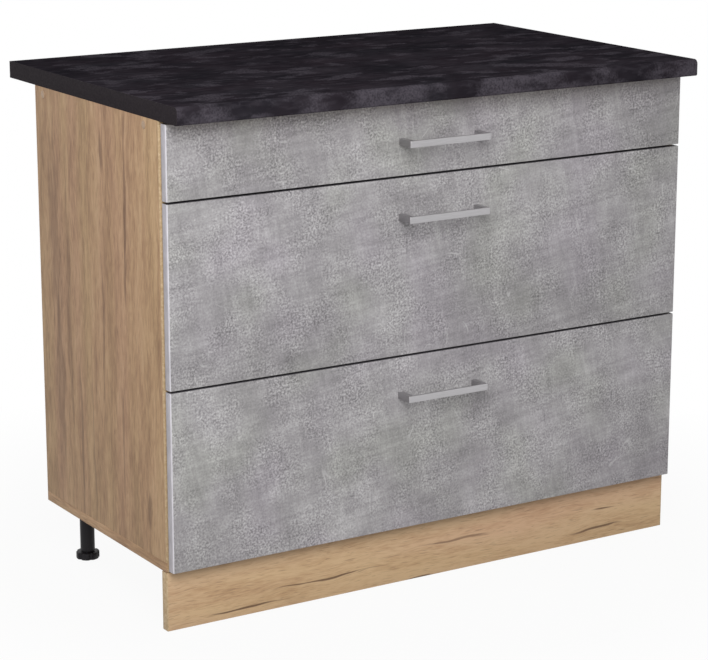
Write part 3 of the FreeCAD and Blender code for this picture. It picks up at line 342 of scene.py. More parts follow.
def folded(points, axis, start, end, radius, finish_name):
    """An open strip of sheet folded along lines that run along an axis. Each point is a fold's
    place on the next two axes. It stays a single skin, in edit mode, until thicken."""
    lines = [aim(axis, 0, *point) for point in points]
    step = lines[1] - lines[0]
    across = step.normalized()
    turn = Matrix((across, aim(axis, 1), across.cross(aim(axis, 1)))).transposed().to_euler()
    middle = (lines[0] + lines[1]) / 2 + aim(axis, (start + end) / 2)
    scale = (step.length, end - start, 1)
    plane = bpy.ops.mesh.primitive_plane_add
    piece = add(plane, finish_name, size=1, location=middle, rotation=turn, scale=scale)
    others = [name for name in "xyz" if name != axis]

    def on_line(line):
        """A test that a corner lies on a fold's line."""
        return at(**{name: getattr(line, name) for name in others})

    pick("EDGE", on_line(lines[1]))
    for line, before in zip(lines[2:], lines[1:]):
        draw_out(line - before)
    for line in lines[1:-1]:
        soften(on_line(line), radius, 3)
    return piece


def modified(piece, kind, **settings):
    """Applies one modifier to a piece and opens it in edit mode."""
    focus(piece)
    modifier = piece.modifiers.new(kind.title(), kind)
    for name, value in settings.items():
        setattr(modifier, name, value)
    bpy.ops.object.modifier_apply(modifier=modifier.name)
    bpy.ops.object.mode_set(mode="EDIT")


def thicken(piece, thickness):
    """Gives a folded skin its thickness, half to each side."""
    modified(piece, "SOLIDIFY", thickness=thickness, offset=0, use_even_offset=True)
    face_outwards()


def cut_out(piece, cutter):
    """Takes one shape out of another and deletes the cutter."""
    modified(piece, "BOOLEAN", operation="DIFFERENCE", solver="EXACT", object=cutter)
    bpy.data.objects.remove(cutter)


def copy_to(places):
    """Copies the open piece's mesh from the first place to all the others."""
    whole()
    places = [Vector(place) for place in places]
    for place, before in zip(places[1:], places):
        bpy.ops.mesh.duplicate()
        bpy.ops.transform.translate(value=place - before)


def ring_of(count, centre):
    """Copies the selected part of the open piece evenly round an upright axis."""
    for _ in range(count - 1):
        bpy.ops.mesh.duplicate()
        bpy.ops.transform.rotate(value=math.tau / count, orient_axis="Z", center_override=centre)


def twin(piece, axis="x", middle=0):
    """The mirror image of a piece across a plane square to an axis, with its own mesh."""
    focus(piece)
    bpy.ops.object.duplicate()
    bpy.ops.object.mode_set(mode="EDIT")
    whole()
    scale = Vector((1, 1, 1)) - aim(axis, 2)
    bpy.ops.transform.resize(value=scale, center_override=aim(axis, middle))
    face_outwards()
    bpy.ops.object.mode_set(mode="OBJECT")
    return bpy.context.object


def join(*pieces):
    """Makes several meshes one piece, which is the first of them, and opens it in edit mode."""
    focus(pieces[0])
    for piece in pieces:
        piece.select_set(True)
    bpy.ops.object.join()
    bpy.ops.object.mode_set(mode="EDIT")
    return pieces[0]


def keep(piece, name, body):
    """Names a finished piece and ties it to its body and the node it stands for."""
    focus(piece)
    bpy.ops.object.shade_smooth_by_angle(angle=math.radians(35))
    piece.name = piece.data.name = "finished_" + name
    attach(piece, body)
    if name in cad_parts:
        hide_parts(name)


def keep_sides(left, name, body):
    """Keeps a left piece and its mirror image apart, each under the name for its side."""
    right = twin(left)
    keep(left, name % "left", body)
    keep(right, name % "right", body)


def keep_pair(left, name, body):
    """Keeps a left piece and its mirror image as one."""
    keep(join(left, twin(left)), name, body)


def dress(node, finish_name):
    """Gives a node that is shown as it is its finish."""
    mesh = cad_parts[node].data
    mesh.materials.clear()
    mesh.materials.append(finish(finish_name))


def middle_of(node):
    """The middle of a node's box."""
    low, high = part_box(node)
    return (low + high) / 2


def side_face():
    """The inner face of the left side panel."""
    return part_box("side_panel_left")[1].x


def runner_z(drawer):
    """The underside of a drawer's runners."""
    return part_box("drawer_side_left_" + drawer)[0].z - sizes().drawer_foot


# ---- materials ----


def linear(text):
    """An sRGB hex code, or one of the cabinet's colours by name, as a linear colour."""
    code = text if text.startswith("#") else getattr(colours(), text)
    parts = [int(code[start:start + 2], 16) / 255 for start in (1, 3, 5)]
    return (*(part / 12.92 if part <= 0.04045 else ((part + 0.055) / 1.055) ** 2.4 for part in parts), 1)


def add_node(tree, kind, *values, named=None, stops=(), **settings):
    """Adds a node: its settings, then a value, colour or link for its inputs, in order or by
    name, then the stops of a colour ramp."""
    made = tree.nodes.new("ShaderNode" + kind)
    for name, value in settings.items():
        setattr(made, name, value)
    in_order = [socket for socket in made.inputs if socket.enabled]
    by_name = [(made.inputs[name], value) for name, value in (named or {}).items()]
    for socket, value in [*zip(in_order, values), *by_name]:
        if isinstance(value, bpy.types.Node):
            value = [output for output in value.outputs if output.enabled][0]
        if isinstance(value, bpy.types.NodeSocket):
            tree.links.new(value, socket)
        else:
            socket.default_value = linear(value) if isinstance(value, str) else value
    for index, (place, tint) in enumerate(stops):
        ramp = made.color_ramp.elements
        stop = ramp[index] if index < 2 else ramp.new(place)
        stop.position = place
        stop.color = linear(tint)
    return made


def new_finish(name):
    """An empty material and its tree, with the piece's own coordinates."""
    material = bpy.data.materials.new(name)
    material.use_nodes = True
    tree = material.node_tree
    tree.nodes.clear()
    return material, tree, add_node(tree, "TexCoord").outputs["Object"]


def mottle(tree, place, size, detail=2, shift=0, turn=0):
    """Noise whose patches have a real size in millimetres, the same all ways or one for each
    axis, and which can be turned in the plane of the fronts."""
    each = size if isinstance(size, tuple) else (size,) * 3
    scale = [1 / (part * MM) for part in each]
    placed = add_node(tree, "Mapping", place, (shift,) * 3, (0, math.radians(turn), 0))
    spot = add_node(tree, "VectorMath", placed, scale, operation="MULTIPLY")
    return add_node(tree, "TexNoise", spot, 1, detail, 0.6)


def tone(tree, parts, total=0.5):
    """Adds noises up round a middle, each with its own weight, which may itself be a noise."""
    for noise, weight in parts:
        centred = add_node(tree, "Math", noise, 0.5, operation="SUBTRACT")
        total = add_node(tree, "Math", centred, weight, total, operation="MULTIPLY_ADD")
    return total


def coat(tree, base, layers):
    """Lays colours over a base: each has an amount, the range of it that counts, how strong it
    gets, and its colour, and a sixth part where it is blended another way."""
    for amount, low, high, strength, over, *blend in layers:
        kind = blend[0] if blend else "MIX"
        factor = add_node(tree, "MapRange", amount, low, high, 0, strength)
        base = add_node(tree, "Mix", factor, base, over, data_type="RGBA", blend_type=kind)
    return base


def where(tree, first, second, low, high):
    """The first amount, only where the second lies high enough in its range."""
    gate = add_node(tree, "MapRange", second, low, high)
    return add_node(tree, "Math", first, gate, operation="MULTIPLY")


def shade(tree, base, roughness, height, depth, shine=0.5, **sockets):
    """Ends a finish with its shader. The relief's depth is in millimetres."""
    relief = add_node(tree, "Bump", named={"Height": height, "Distance": depth * MM})
    inputs = {"Base Color": base, "Roughness": roughness, "Normal": relief}
    inputs["Specular IOR Level"] = shine
    shader = add_node(tree, "BsdfPrincipled", named={**inputs, **sockets})
    add_node(tree, "OutputMaterial", named={"Surface": shader})


def oak(name, grain, contrast, lift, face=0, spots=()):
    """Oak decor printed on paper and pressed with pores: bands, streaks and fibres that run along
    the grain, patches that lean to green or pink, dark cracks and knots on one face, and a matt
    sheen. The face is its place in millimetres."""
    material, tree, place = new_finish(name)
    parts = add_node(tree, "SeparateXYZ", place)
    # the grain's own axis comes first
    order = {"x": "XZY", "y": "YZX", "z": "ZYX"}[grain]
    straight = add_node(tree, "CombineXYZ", *(parts.outputs[axis] for axis in order))
    wander = mottle(tree, straight, (170, 60, 60), 2).outputs["Color"]
    sway = (wander, (0, 20 * MM, 20 * MM), straight)
    flow = add_node(tree, "VectorMath", *sway, operation="MULTIPLY_ADD")
    bands = mottle(tree, flow, (420, 38, 38), 2, 3)
    streaks = mottle(tree, flow, (80, 10, 10), 2, 5)
    fibres = mottle(tree, flow, (24, 2.2, 2.2), 2, 7)
    weights = ((bands, contrast), (streaks, contrast * 0.75), (fibres, 0.68))
    stops = ((0.22, "oak_dark"), (0.5, "oak_middle"), (0.76, "oak_light"))
    base = add_node(tree, "ValToRGB", tone(tree, weights, 0.5 + lift), stops=stops)
    lean = mottle(tree, flow, (700, 60, 60), 1, 15)
    # pores are drawn 1.5 mm wide, several times their real width, so that they show
    dashes = mottle(tree, flow, (30, 1.5, 1.5), 1, 9)
    layers = [
        (lean, 0.5, 0.65, 0.22, "#9a8560", "COLOR"),
        (lean, 0.48, 0.35, 0.22, "#a07a68", "COLOR"),
        (dashes, 0.6, 0.74, 0.4, "pore"),
    ]
    for along, across, half_length, half_width, strength in spots:
        radii = (half_length, half_width, SPOT_REACH)
        centre = [-part / radius for part, radius in zip((along, across, face), radii)]
        scale = [1 / (radius * MM) for radius in radii]
        inside = add_node(tree, "Mapping", flow, centre, (0, 0, 0), scale)
        away = add_node(tree, "VectorMath", inside, operation="LENGTH").outputs["Value"]
        ragged = add_node(tree, "Math", streaks, 1.5, away, operation="MULTIPLY_ADD")
        layers.append((ragged, 1.75, 1.25, strength, "pore"))
    height = add_node(tree, "Math", fibres, dashes, operation="SUBTRACT")
    shade(tree, coat(tree, base, layers), 0.6, height, 0.06, 0.25)
    return material


def concrete(name):
    """Concrete decor foil: a fine grain of pale and dark that comes and goes in patches, soft
    brushed smears, faint green and lilac drifts, pale specks and scratches, and a dull sheen."""
    material, tree, place = new_finish(name)
    clouds = mottle(tree, place, 210, 2, 2)
    patches = mottle(tree, place, 45, 3, 8)
    smears = mottle(tree, place, (120, 60, 9), 2, 14, 8)
    strokes = mottle(tree, place, (9, 60, 70), 2, 17, 12)
    # the print's grain is finer than 1 mm, and is drawn 3.5 mm wide so that it shows
    grain = mottle(tree, place, 3.5, 2, 6)
    strength = add_node(tree, "MapRange", mottle(tree, place, 70, 2, 20), 0.4, 0.62, 0.45, 1.6)
    weights = ((clouds, 0.38), (patches, 0.45), (smears, 0.3), (strokes, 0.25), (grain, strength))
    stops = ((0.15, "concrete_dark"), (0.5, "concrete_middle"), (0.85, "concrete_light"))
    base = add_node(tree, "ValToRGB", tone(tree, weights), stops=stops)
    drift = mottle(tree, place, 150, 1, 4)
    cell = add_node(tree, "TexVoronoi", named={"Vector": place, "Scale": 1 / (18 * MM)}).outputs
    specks = where(tree, cell["Color"], cell["Distance"], 0.14, 0.06)
    vein = mottle(tree, place, (60, 60, 120), 1, 12)
    line = add_node(tree, "Math", vein, 0.5, 0.005, operation="COMPARE")
    scratches = where(tree, line, mottle(tree, place, 50, 1, 22), 0.6, 0.7)
    layers = (
        (drift, 0.52, 0.68, 0.5, "#a39da4", "COLOR"),
        (drift, 0.48, 0.32, 0.45, "#9a9b95", "COLOR"),
        (specks, 0.3, 0.8, 0.8, "concrete_light"),
        (scratches, 0, 1, 0.5, "concrete_light"),
    )
    shade(tree, coat(tree, base, layers), 0.6, grain, 0.03, 0.25)
    return material


def laminate(name, sheen_paint):
    """High-pressure laminate in near-black stone decor: purple-brown and grey clouds, fine grey
    grain in patches and short pale strokes along the worktop, very matt. The last value greys and
    pales the grain, as painted sheen on the worktop's nose."""
    material, tree, place = new_finish(name)
    grain = mottle(tree, place, 3.5, 3, 9)
    patches = mottle(tree, place, (70, 40, 40), 2, 5)
    speckle = where(tree, grain, patches, 0.42 - sheen_paint, 0.62)
    layers = (
        (mottle(tree, place, (150, 80, 80), 3, 1), 0.36, 0.7, 0.8, "worktop_cloud"),
        (mottle(tree, place, (110, 60, 60), 3, 7), 0.45, 0.8, 0.2, "worktop_stroke"),
        (speckle, 0.3 - sheen_paint, 0.75 - sheen_paint, 0.75, "worktop_stroke"),
        (mottle(tree, place, (36, 10, 10), 3, 3), 0.48, 0.85, 0.32, "worktop_stroke"),
    )
    shade(tree, coat(tree, "worktop", layers), 0.8, grain, 0.05, 0)
    return material


def grained(name, light, dark, size, depth, roughness, shine=0.5, detail=2, **sockets):
    """A finish with one fine grain: two tones and a relief of the same real size."""
    material, tree, place = new_finish(name)
    grain = mottle(tree, place, size, detail)
    base = coat(tree, dark, [(grain, 0.35, 0.65, 1, light)])
    dull = add_node(tree, "MapRange", grain, 0.3, 0.7, roughness + 0.05, roughness - 0.05)
    shade(tree, base, dull, grain, depth, shine, **sockets)
    return material


def metal(*values):
    """A grained finish in bare metal."""
    return grained(*values, Metallic=1)


def glassy(*values):
    """A grained finish in a clear plastic."""
    return grained(*values, **{"Transmission Weight": 0.8})


def chips(name, size, *tints):
    """Cut particle board or hardboard: pressed chips or fibres in several browns, quite dull."""
    material, tree, place = new_finish(name)
    cell = add_node(tree, "TexVoronoi", named={"Vector": place, "Scale": 1 / (size * MM)})
    pale = add_node(tree, "SeparateXYZ", cell.outputs["Color"])
    stops = [(index / 3, tint) for index, tint in enumerate(tints)]
    base = add_node(tree, "ValToRGB", pale, stops=stops)
    base = coat(tree, base, [(mottle(tree, place, size / 3, 3), 0.4, 0.7, 0.4, tints[0])])
    shade(tree, base, 0.85, cell.outputs["Distance"], 0.3)
    return material


def finish(name):
    """The material of that name, made when it is first asked for."""
    if name in bpy.data.materials:
        return bpy.data.materials[name]
    make, *values = FINISHES[name]
    return make(name, *values)


# A knot or crack: its place along and across the grain, its half length and half width, in
# millimetres, and how dark it is. Each reaches as far into the board as SPOT_REACH.
SPOT_REACH = 60
SIDE_SPOTS = (
    (747, -28, 34, 8, 0.5),
    (190, -176, 38, 9, 0.5),
    (700, -112, 150, 5, 0.5),
    (590, -108, 110, 4.5, 0.5),
    (450, -26, 160, 4.5, 0.42),
    (240, 20, 140, 4.5, 0.42),
    (250, 65, 170, 4.5, 0.5),
    (260, -90, 120, 4, 0.35),
    (590, 150, 200, 24, 0.32),
    (330, 140, 190, 18, 0.34),
    (470, 100, 260, 9, 0.22),
)
PLINTH_SPOTS = (
    (-358, 24, 90, 2.3, 0.85),
    (-213, 43, 110, 2.2, 0.85),
    (-24, 11, 36, 4, 0.85),
    (60, 66, 90, 2.4, 0.6),
    (366, 66, 32, 2.2, 0.75),
    (362, 32, 60, 2.6, 0.8),
)

# Each finish with what makes it and that function's values. Its comment says what the real
# material gives the eye, and what light or shade is painted into it. A grained finish has two
# tones, its grain's size and depth in millimetres, its roughness, and its shine where that is
# not a plastic's usual one.
FINISHES = {
    # oak decor with the grain upright: brown, a little cooler than the plinth, vertical streaks
    "oak_decor_upright": (oak, "z", 0.72, -0.05, -500, SIDE_SPOTS),
    # the same decor cut along the board: lighter, with long horizontal cracks
    "oak_decor_along": (oak, "x", 0.65, 0.18, -240, PLINTH_SPOTS),
    # the strip on the end of the bottom board: greyer, its grain from front to back
    "oak_decor_across": (oak, "y", 0.8, -0.12),
    # ABS edge band in oak colour with hardly any grain, painted pale as a highlight on its arris, so
    # that it shows as a thin pale line
    "oak_edge_band_painted_highlight": (grained, "oak_band_highlight", "#b59a76", 6, 0.02, 0.5, 0.25),
    # sawn particle board: straw-coloured chips
    "sawn_chipboard": (chips, 2.5, "#b99a6c", "#cbb084", "#a3855a", "#d8c39c"),
    # hardboard, the side that was pressed on a screen: dull brown fibres
    "raw_hardboard": (chips, 1.2, "#7d5f41", "#8a6b4a", "#6f5338", "#977853"),
    # white lacquer on hardboard: flat, slightly warm white
    "white_lacquer": (grained, "#e2e0da", "#dad8d1", 1.5, 0.03, 0.5),
    # foil with a printed concrete decor, wrapped round the front's rim
    "concrete_foil": (concrete,),
    # the same foil on the front's rounded rim, painted pale as a highlight where the rim catches the
    # light, the print nearly gone
    "rim_painted_highlight": (grained, "rim_highlight", "#d0cdd3", (9, 9, 20), 0.02, 0.45, 0.4),
    # the same foil on a front's ends: plain lilac grey, painted paler than the decor as light on that
    # face and darker than the rim as its shade
    "end_painted_light_and_shade": (grained, "#c0bcc2", "#b2afb5", (9, 9, 20), 0.02, 0.5, 0.25),
    # the fronts' upper and lower edges: plain mid grey, darker than the foil, as painted shade that
    # keeps the gaps between the fronts dark
    "painted_gap_shade": (grained, "#737076", "#68656a", 6, 0.02, 0.55, 0.2),
    # backing foil of the fronts: plain pale grey
    "front_backing": (grained, "#d8d8d6", "#cfcfcd", 1.2, 0.02, 0.5),
    # laminated worktop: nearly black
    "worktop_laminate": (laminate, 0),
    # the same laminate over the nose and front edge: paler, greyer grain, painted sheen for the light
    # that the nose catches from the front
    "nose_painted_sheen": (laminate, 0.11),
    # the glued end strip: plain near-black, smoother than the top
    "worktop_end_band": (grained, "#332e31", "#2c282b", 3, 0.02, 0.7, 0.03),
    # kraft backing paper below and behind the worktop: dull brown
    "kraft_backing": (grained, "#8a6f52", "#7b6247", 5, 0.03, 0.7, 0.5, 4),
    # satin zinc alloy, lightly brushed along the handle: soft grey streaks
    "satin_metal": (metal, "handle", "#abaaab", (30, 0.5, 0.5), 0.01, 0.42),
    # bright zinc plating: a bluish grey with cloudy patches
    "zinc_plating": (metal, "#c3c7cb", "#aaafb4", 2.5, 0.01, 0.33),
    # powder coat on steel: pale grey with a fine orange peel
    "powder_coat": (grained, "steel_coat", "#c7c8c7", 1.1, 0.03, 0.4),
    # melamine paper on particle board: pale grey, a fine pearl texture
    "grey_melamine": (grained, "melamine", "#cbcbc9", 0.9, 0.03, 0.5),
    # moulded polypropylene: near-black, slightly waxy, a fine eroded texture
    "black_polypropylene": (grained, "black", "#1a181b", 0.8, 0.04, 0.45, 0.2),
    # moulded nylon: off-white and slick
    "white_nylon": (grained, "#e6e5df", "#dcdbd4", 1.0, 0.01, 0.35),
    # extruded PVC: white, smooth, a low gloss
    "white_pvc": (grained, "#e4e3de", "#dddcd6", 2, 0.01, 0.4),
    # polyethylene cap moulded in the decor's colour: plain light brown with a soft gloss
    "cap_polyethylene": (grained, "#b3967a", "#a68a6e", 1.5, 0.02, 0.35),
    # clear polyurethane drop: see-through and soft, with a wet look
    "clear_polyurethane": (glassy, "#eef0f0", "#e6e9e9", 2, 0.005, 0.2),
    # fluted beech: pinkish straw with short flecks
    "beech": (grained, "#cfa877", "#b98f5f", (9, 0.6, 0.6), 0.05, 0.6),
}


# ---- the carcass ----


class CABINET_OT_sides(bpy.types.Operator):
    """Side panels: oak decor, a band on the front edge, sawn board at the back and on top"""

    bl_idname = "cabinet.sides"
    bl_label = "Side panels"

    def execute(self, context):
        low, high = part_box("side_panel_left")
        left = board("side_panel_left", "oak_decor_upright")
        # the front edge band, painted pale as a highlight on its arris
        band("oak_edge_band_painted_highlight", "y", low.y, 1)
        paint("sawn_chipboard", at(y=high.y))
        paint("sawn_chipboard", at(z=high.z))
        keep_sides(left, "side_panel_%s", "cabinet")
        return {"FINISHED"}


class CABINET_OT_boards(bpy.types.Operator):
    """Bottom board with banded ends, and the two rails under the worktop"""

    bl_idname = "cabinet.boards"
    bl_label = "Bottom board and rails"

    def execute(self, context):
        low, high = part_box("bottom_panel")
        bottom = board("bottom_panel", "oak_decor_along")
        # the front edge band, painted pale as a highlight on its arris
        band("oak_edge_band_painted_highlight", "y", low.y, 1)
        band("oak_decor_across", "x", low.x, 1)
        band("oak_decor_across", "x", high.x, -1)
        paint("sawn_chipboard", at(y=high.y))
        keep(bottom, "bottom_panel", "cabinet")
        for name in ("top_rail_front", "top_rail_rear"):
            low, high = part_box(name)
            rail = board(name, "oak_decor_along")
            # the front edge band, painted pale as a highlight on its arris
            band("oak_edge_band_painted_highlight", "y", low.y, 1)
            paint("sawn_chipboard", at(x=low.x))
            paint("sawn_chipboard", at(x=high.x))
            keep(rail, name, "cabinet")
        return {"FINISHED"}


class CABINET_OT_back(bpy.types.Operator):
    """Back panels, the strip that joins them, and the nails along their edges"""

    bl_idname = "cabinet.back"
    bl_label = "Back panels and nails"

    def nail_places(self, start, end):
        """Places from start to end, about a nail's pitch apart."""
        count = round(abs(end - start) / sizes().nail_pitch)
        return [start + (end - start) * step / count for step in range(count + 1)]

    def execute(self, context):
        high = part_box("back_panel_left")[1]
        left = board("back_panel_left", "white_lacquer")
        paint("raw_hardboard", at(y=high.y))
        keep_sides(left, "back_panel_%s", "cabinet")
        dress("back_panel_joiner", "white_pvc")

        size = sizes()
        head = size.nail_head
        rows = (middle_of("bottom_panel").z, middle_of("top_rail_rear").z)
        side = middle_of("side_panel_left").x
        inwards = self.nail_places(side, -size.nail_free)[1:]
        places = [(side, high.y, z) for z in self.nail_places(*rows)]
        places += [(x, high.y, z) for z in rows for x in inwards]
        rim = size.nail_rim
        rings = ((0, head), (rim, head), (rim * 7 / 3, head * 0.75), (rim * 3, head * 0.35))
        nails = turned(rings, places[0], "y", "zinc_plating", 12)
        copy_to(places)
        keep_pair(nails, "back_nails", "cabinet")
        return {"FINISHED"}


class CABINET_OT_worktop(bpy.types.Operator):
    """Worktop with its rounded nose, and the strips on its ends"""

    bl_idname = "cabinet.worktop"
    bl_label = "Worktop"

    def slab(self, node, finish_name):
        """A block of a node's size with the worktop's two front radii."""
        low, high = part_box(node)
        piece = cube(low, high, finish_name)
        soften(at(y=low.y, z=high.z), sizes().nose, 10)
        soften(at(y=low.y, z=low.z), sizes().under_nose, 6)
        return piece

    def execute(self, context):
        low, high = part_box("worktop")
        top = self.slab("worktop", "worktop_laminate")
        soften(lambda corner: corner.y > high.y - NEAR, sizes().board_edge, 2)
        # the nose and front edge get paler, greyer grain: painted sheen
        paint("nose_painted_sheen", lambda corner: corner.y < low.y + sizes().nose + NEAR)
        paint("kraft_backing", at(y=high.y))
        paint("kraft_backing", at(z=low.z))
        keep(top, "worktop", "cabinet")
        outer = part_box("worktop_end_strip_left")[0].x
        left = self.slab("worktop_end_strip_left", "worktop_end_band")
        pick("FACE", at(x=outer))
        bpy.ops.mesh.region_to_loop()
        bpy.ops.mesh.bevel(offset=sizes().strip_edge, segments=2)
        keep_sides(left, "worktop_end_strip_%s", "cabinet")
        return {"FINISHED"}


class CABINET_OT_plinth(bpy.types.Operator):
    """Plinth board with banded ends, and the clips behind it"""

    bl_idname = "cabinet.plinth"
    bl_label = "Plinth"

    def execute(self, context):
        low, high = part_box("plinth_board")
        plinth = board("plinth_board", "oak_decor_along")
        # the end bands, painted pale as a highlight on their arrises
        band("oak_edge_band_painted_highlight", "x", low.x, 1)
        band("oak_edge_band_painted_highlight", "x", high.x, -1)
        paint("sawn_chipboard", at(z=low.z))
        paint("sawn_chipboard", at(z=high.z))
        keep(plinth, "plinth_board", "cabinet")
        dress("plinth_clips", "black_polypropylene")
        return {"FINISHED"}


class CABINET_OT_legs(bpy.types.Operator):
    """Leg tubes with their flanges and gussets, and the lobed feet that turn in them"""

    bl_idname = "cabinet.legs"
    bl_label = "Legs and feet"

    def leg(self, centre, low, top):
        """One flanged tube with its gussets, from the tube's lower end to the bottom board."""
        size = sizes()
        under = top - size.flange_thickness
        ease = size.leg_ease
        rings = (
            (low, size.tube_bore),
            (low, size.tube - ease),
            (low + ease, size.tube),
            (under - ease, size.tube),
            (under, size.tube + ease),
            (under, size.flange - ease),
            (under + ease, size.flange),
            (top, size.flange),
            (top, size.tube_bore),
            (low, size.tube_bore),
        )
        tube = turned(rings, centre, "z", "black_polypropylene", 48)
        half = size.gusset_thickness / 2
        root = centre + Vector((size.tube - size.gusset_root, -half, under - size.gusset_drop))
        tip = centre + Vector((size.tube + size.gusset_reach, half, under))
        gusset = cube(root, tip, "black_polypropylene")
        pick("VERT", at(x=tip.x, z=root.z))
        bpy.ops.transform.translate(value=(ease - size.gusset_reach, 0, 0))
        whole()
        bpy.ops.mesh.bevel(offset=size.gusset_edge, segments=2)
        whole()
        ring_of(4, centre)
        return join(tube, gusset)

    def foot(self, node):
        """A disc whose rim is cut into lobes, under the stem that turns in the tube."""
        size = sizes()
        low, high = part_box(node)
        centre = middle_of(node)
        centre.z = low.z
        height = high.z - low.z
        rim = (high.x - low.x) / 2
        stem = size.tube_bore - size.running_gap
        thick = size.foot_thickness
        step = thick + size.foot_step
        bevel, ease = size.foot_bevel, size.foot_bevel * 0.3
        rings = [
            (0, rim - bevel),
            (ease, rim - ease),
            (bevel, rim),
            (thick - bevel, rim),
            (thick - ease, rim - ease),
            (thick, rim - bevel),
            (thick, size.foot_collar),
            (step, size.foot_collar),
            (step, stem),
        ]
        # round ridges stand for the stem's thread, and its last turn is left plain
        pitch, core = size.foot_thread, stem - size.foot_thread_depth
        for index in range(round((height - step) / pitch) - 1):
            start = step + pitch * (index + 0.2)
            rings += [(start, core), (start + pitch * 0.4, core), (start + pitch * 0.6, stem)]
        rings.append((height, stem))
        disc = turned(rings, centre, "z", "black_polypropylene", 72)
        place = centre + Vector((rim + size.notch_out, 0, thick / 2))
        shape = {"vertices": 24, "radius": size.notch, "depth": thick * 1.5, "location": place}
        cutter = add(bpy.ops.mesh.primitive_cylinder_add, "black_polypropylene", **shape)
        bpy.ops.transform.rotate(value=-math.radians(39), orient_axis="Z", center_override=centre)
        ring_of(6, centre)
        cut_out(disc, cutter)
        return disc

    def execute(self, context):
        size = sizes()
        front, rear = middle_of("foot_front_left"), middle_of("foot_rear_left")
        over_foot = size.foot_thickness + size.foot_step + size.foot_gap
        leg = self.leg(Vector((front.x, front.y, 0)), over_foot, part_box("leg_tubes")[1].z)
        copy_to([front, rear])
        keep_pair(leg, "leg_tubes", "cabinet")
        first = self.foot("foot_front_left")
        second = twin(first, "y", (front.y + rear.y) / 2)
        for row, left in (("front", first), ("rear", second)):
            for side, foot in (("left", left), ("right", twin(left))):
                name = "foot_%s_%s" % (row, side)
                keep(foot, name, name)
        return {"FINISHED"}


# ---- screws, caps and buffers ----


def thread(start, end, core, outer, pitch):
    """Rings of a screw's thread, drawn as round ridges."""
    count = max(1, int(abs(end - start) / pitch))
    step = (end - start) / count
    ridge = ((0.15, core), (0.6, outer), (0.95, core))
    turns = [start + step * index for index in range(count)]
    return [(turn + step * part, radius) for turn in turns for part, radius in ridge]


def screws(kind, places, axis, inwards, drawer=""):
    """Like screws of the left side and their mirror images: one is turned, its cross recess is
    cut, and it is copied to each place, where the face of its head lies."""
    name, body = (kind + "_" + drawer, "drawer_" + drawer) if drawer else (kind, "cabinet")
    head, head_height, shank = (part * MM for part in SCREWS[kind])
    if kind == "bottom_screws":  # countersunk
        rings = [(0, head), (head_height, shank * 1.3)]
    else:
        rings = [(0, head * 0.55), (head_height * 0.2, head * 0.85), (head_height * 0.6, head)]
        rings += [(head_height, head), (head_height, shank)]
    low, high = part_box(name)
    index = "xyz".index(axis)
    reach = abs((high if inwards > 0 else low)[index] - places[0][index])
    neck, point, pitch = 1 * MM, 3 * MM, 2 * MM
    rings += thread(head_height + neck, reach - point, shank * 0.75, shank, pitch)
    rings.append((reach, shank * 0.15))
    rings = [(along * inwards, radius) for along, radius in rings]
    first = Vector(places[0])
    screw = turned(rings, first, axis, "zinc_plating", 20)
    wide, thin = head * 0.55, head * 0.13
    for across, up in ((wide, thin), (thin, wide)):
        half = aim(axis, head_height * 0.9, across, up)
        cut_out(screw, cube(first - half, first + half, "zinc_plating"))
    copy_to(places)
    keep_pair(screw, name, body)


def domes(places, axis, proud, radius, shoulder, crown, finish_name, steps):
    """Low round domes at each place, with their radius at the shoulder and the crown as parts of
    the full one."""
    top = ((proud * 0.85, radius * shoulder), (proud, radius * crown))
    made = turned(((0, radius), (proud * 0.5, radius), *top), places[0], axis, finish_name, steps)
    copy_to(places)
    return made


class CABINET_OT_fasteners(bpy.types.Operator):
    """Screws of the carcass and the legs, the caps on the sides, the dowels and the buffers"""

    bl_idname = "cabinet.fasteners"
    bl_label = "Screws, caps and buffers"

    def heads(self, kind):
        """From the box of a kind of screw: the x of its left heads, three places from front to
        rear, and the height of the heads' faces."""
        low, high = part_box(kind)
        head = SCREWS[kind][0] * MM
        return low.x + head, (low.y + head, (low.y + high.y) / 2, high.y - head), low.z

    def execute(self, context):
        size = sizes()
        dress("rail_screws", "zinc_plating")
        dress("carcass_dowels", "beech")
        low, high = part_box("screw_caps")
        cap = (high.z - low.z) / 2
        panel_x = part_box("side_panel_left")[0].x
        places = [(panel_x, y, (low.z + high.z) / 2) for y in (low.y + cap, high.y - cap)]
        caps = domes(places, "x", low.x - panel_x, cap, 0.93, 0.8, "cap_polyethylene", 40)
        keep_pair(caps, "screw_caps", "cabinet")

        x, rows, z = self.heads("bottom_screws")
        screws("bottom_screws", [(x, y, z) for y in rows], "z", 1)
        x, rows, z = self.heads("leg_screws")
        feet = (middle_of("foot_front_left"), middle_of("foot_rear_left"))
        out = feet[0].x - x
        rows = [foot.y + side for foot in feet for side in (-out, out)]
        places = [(feet[0].x + side, y, z) for side in (-out, out) for y in rows]
        screws("leg_screws", places, "z", 1)
        x, rows, z = self.heads("worktop_screws")
        screws("worktop_screws", [(x, y, z) for y in (rows[0], rows[-1])], "z", 1)
        rows = self.heads("runner_screws")[1]
        x = side_face() + size.runner_sheet + SCREWS["runner_screws"][1] * MM
        up = size.runner_height / 2
        places = [(x, y, runner_z(drawer) + up) for drawer in DRAWERS for y in rows]
        screws("runner_screws", places, "x", -1)

        low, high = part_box("front_buffers")
        inset = size.buffer_inset
        fronts = [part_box("drawer_front_" + drawer) for drawer in DRAWERS]
        rows = [z for below, above in fronts for z in (below.z + inset, above.z - inset)]
        places = [(low.x + size.buffer, high.y, z) for z in rows]
        proud = low.y - high.y
        drops = domes(places, "y", proud, size.buffer, 0.85, 0.5, "clear_polyurethane", 24)
        keep_pair(drops, "front_buffers", "cabinet")
        return {"FINISHED"}


# ---- runners and rollers ----


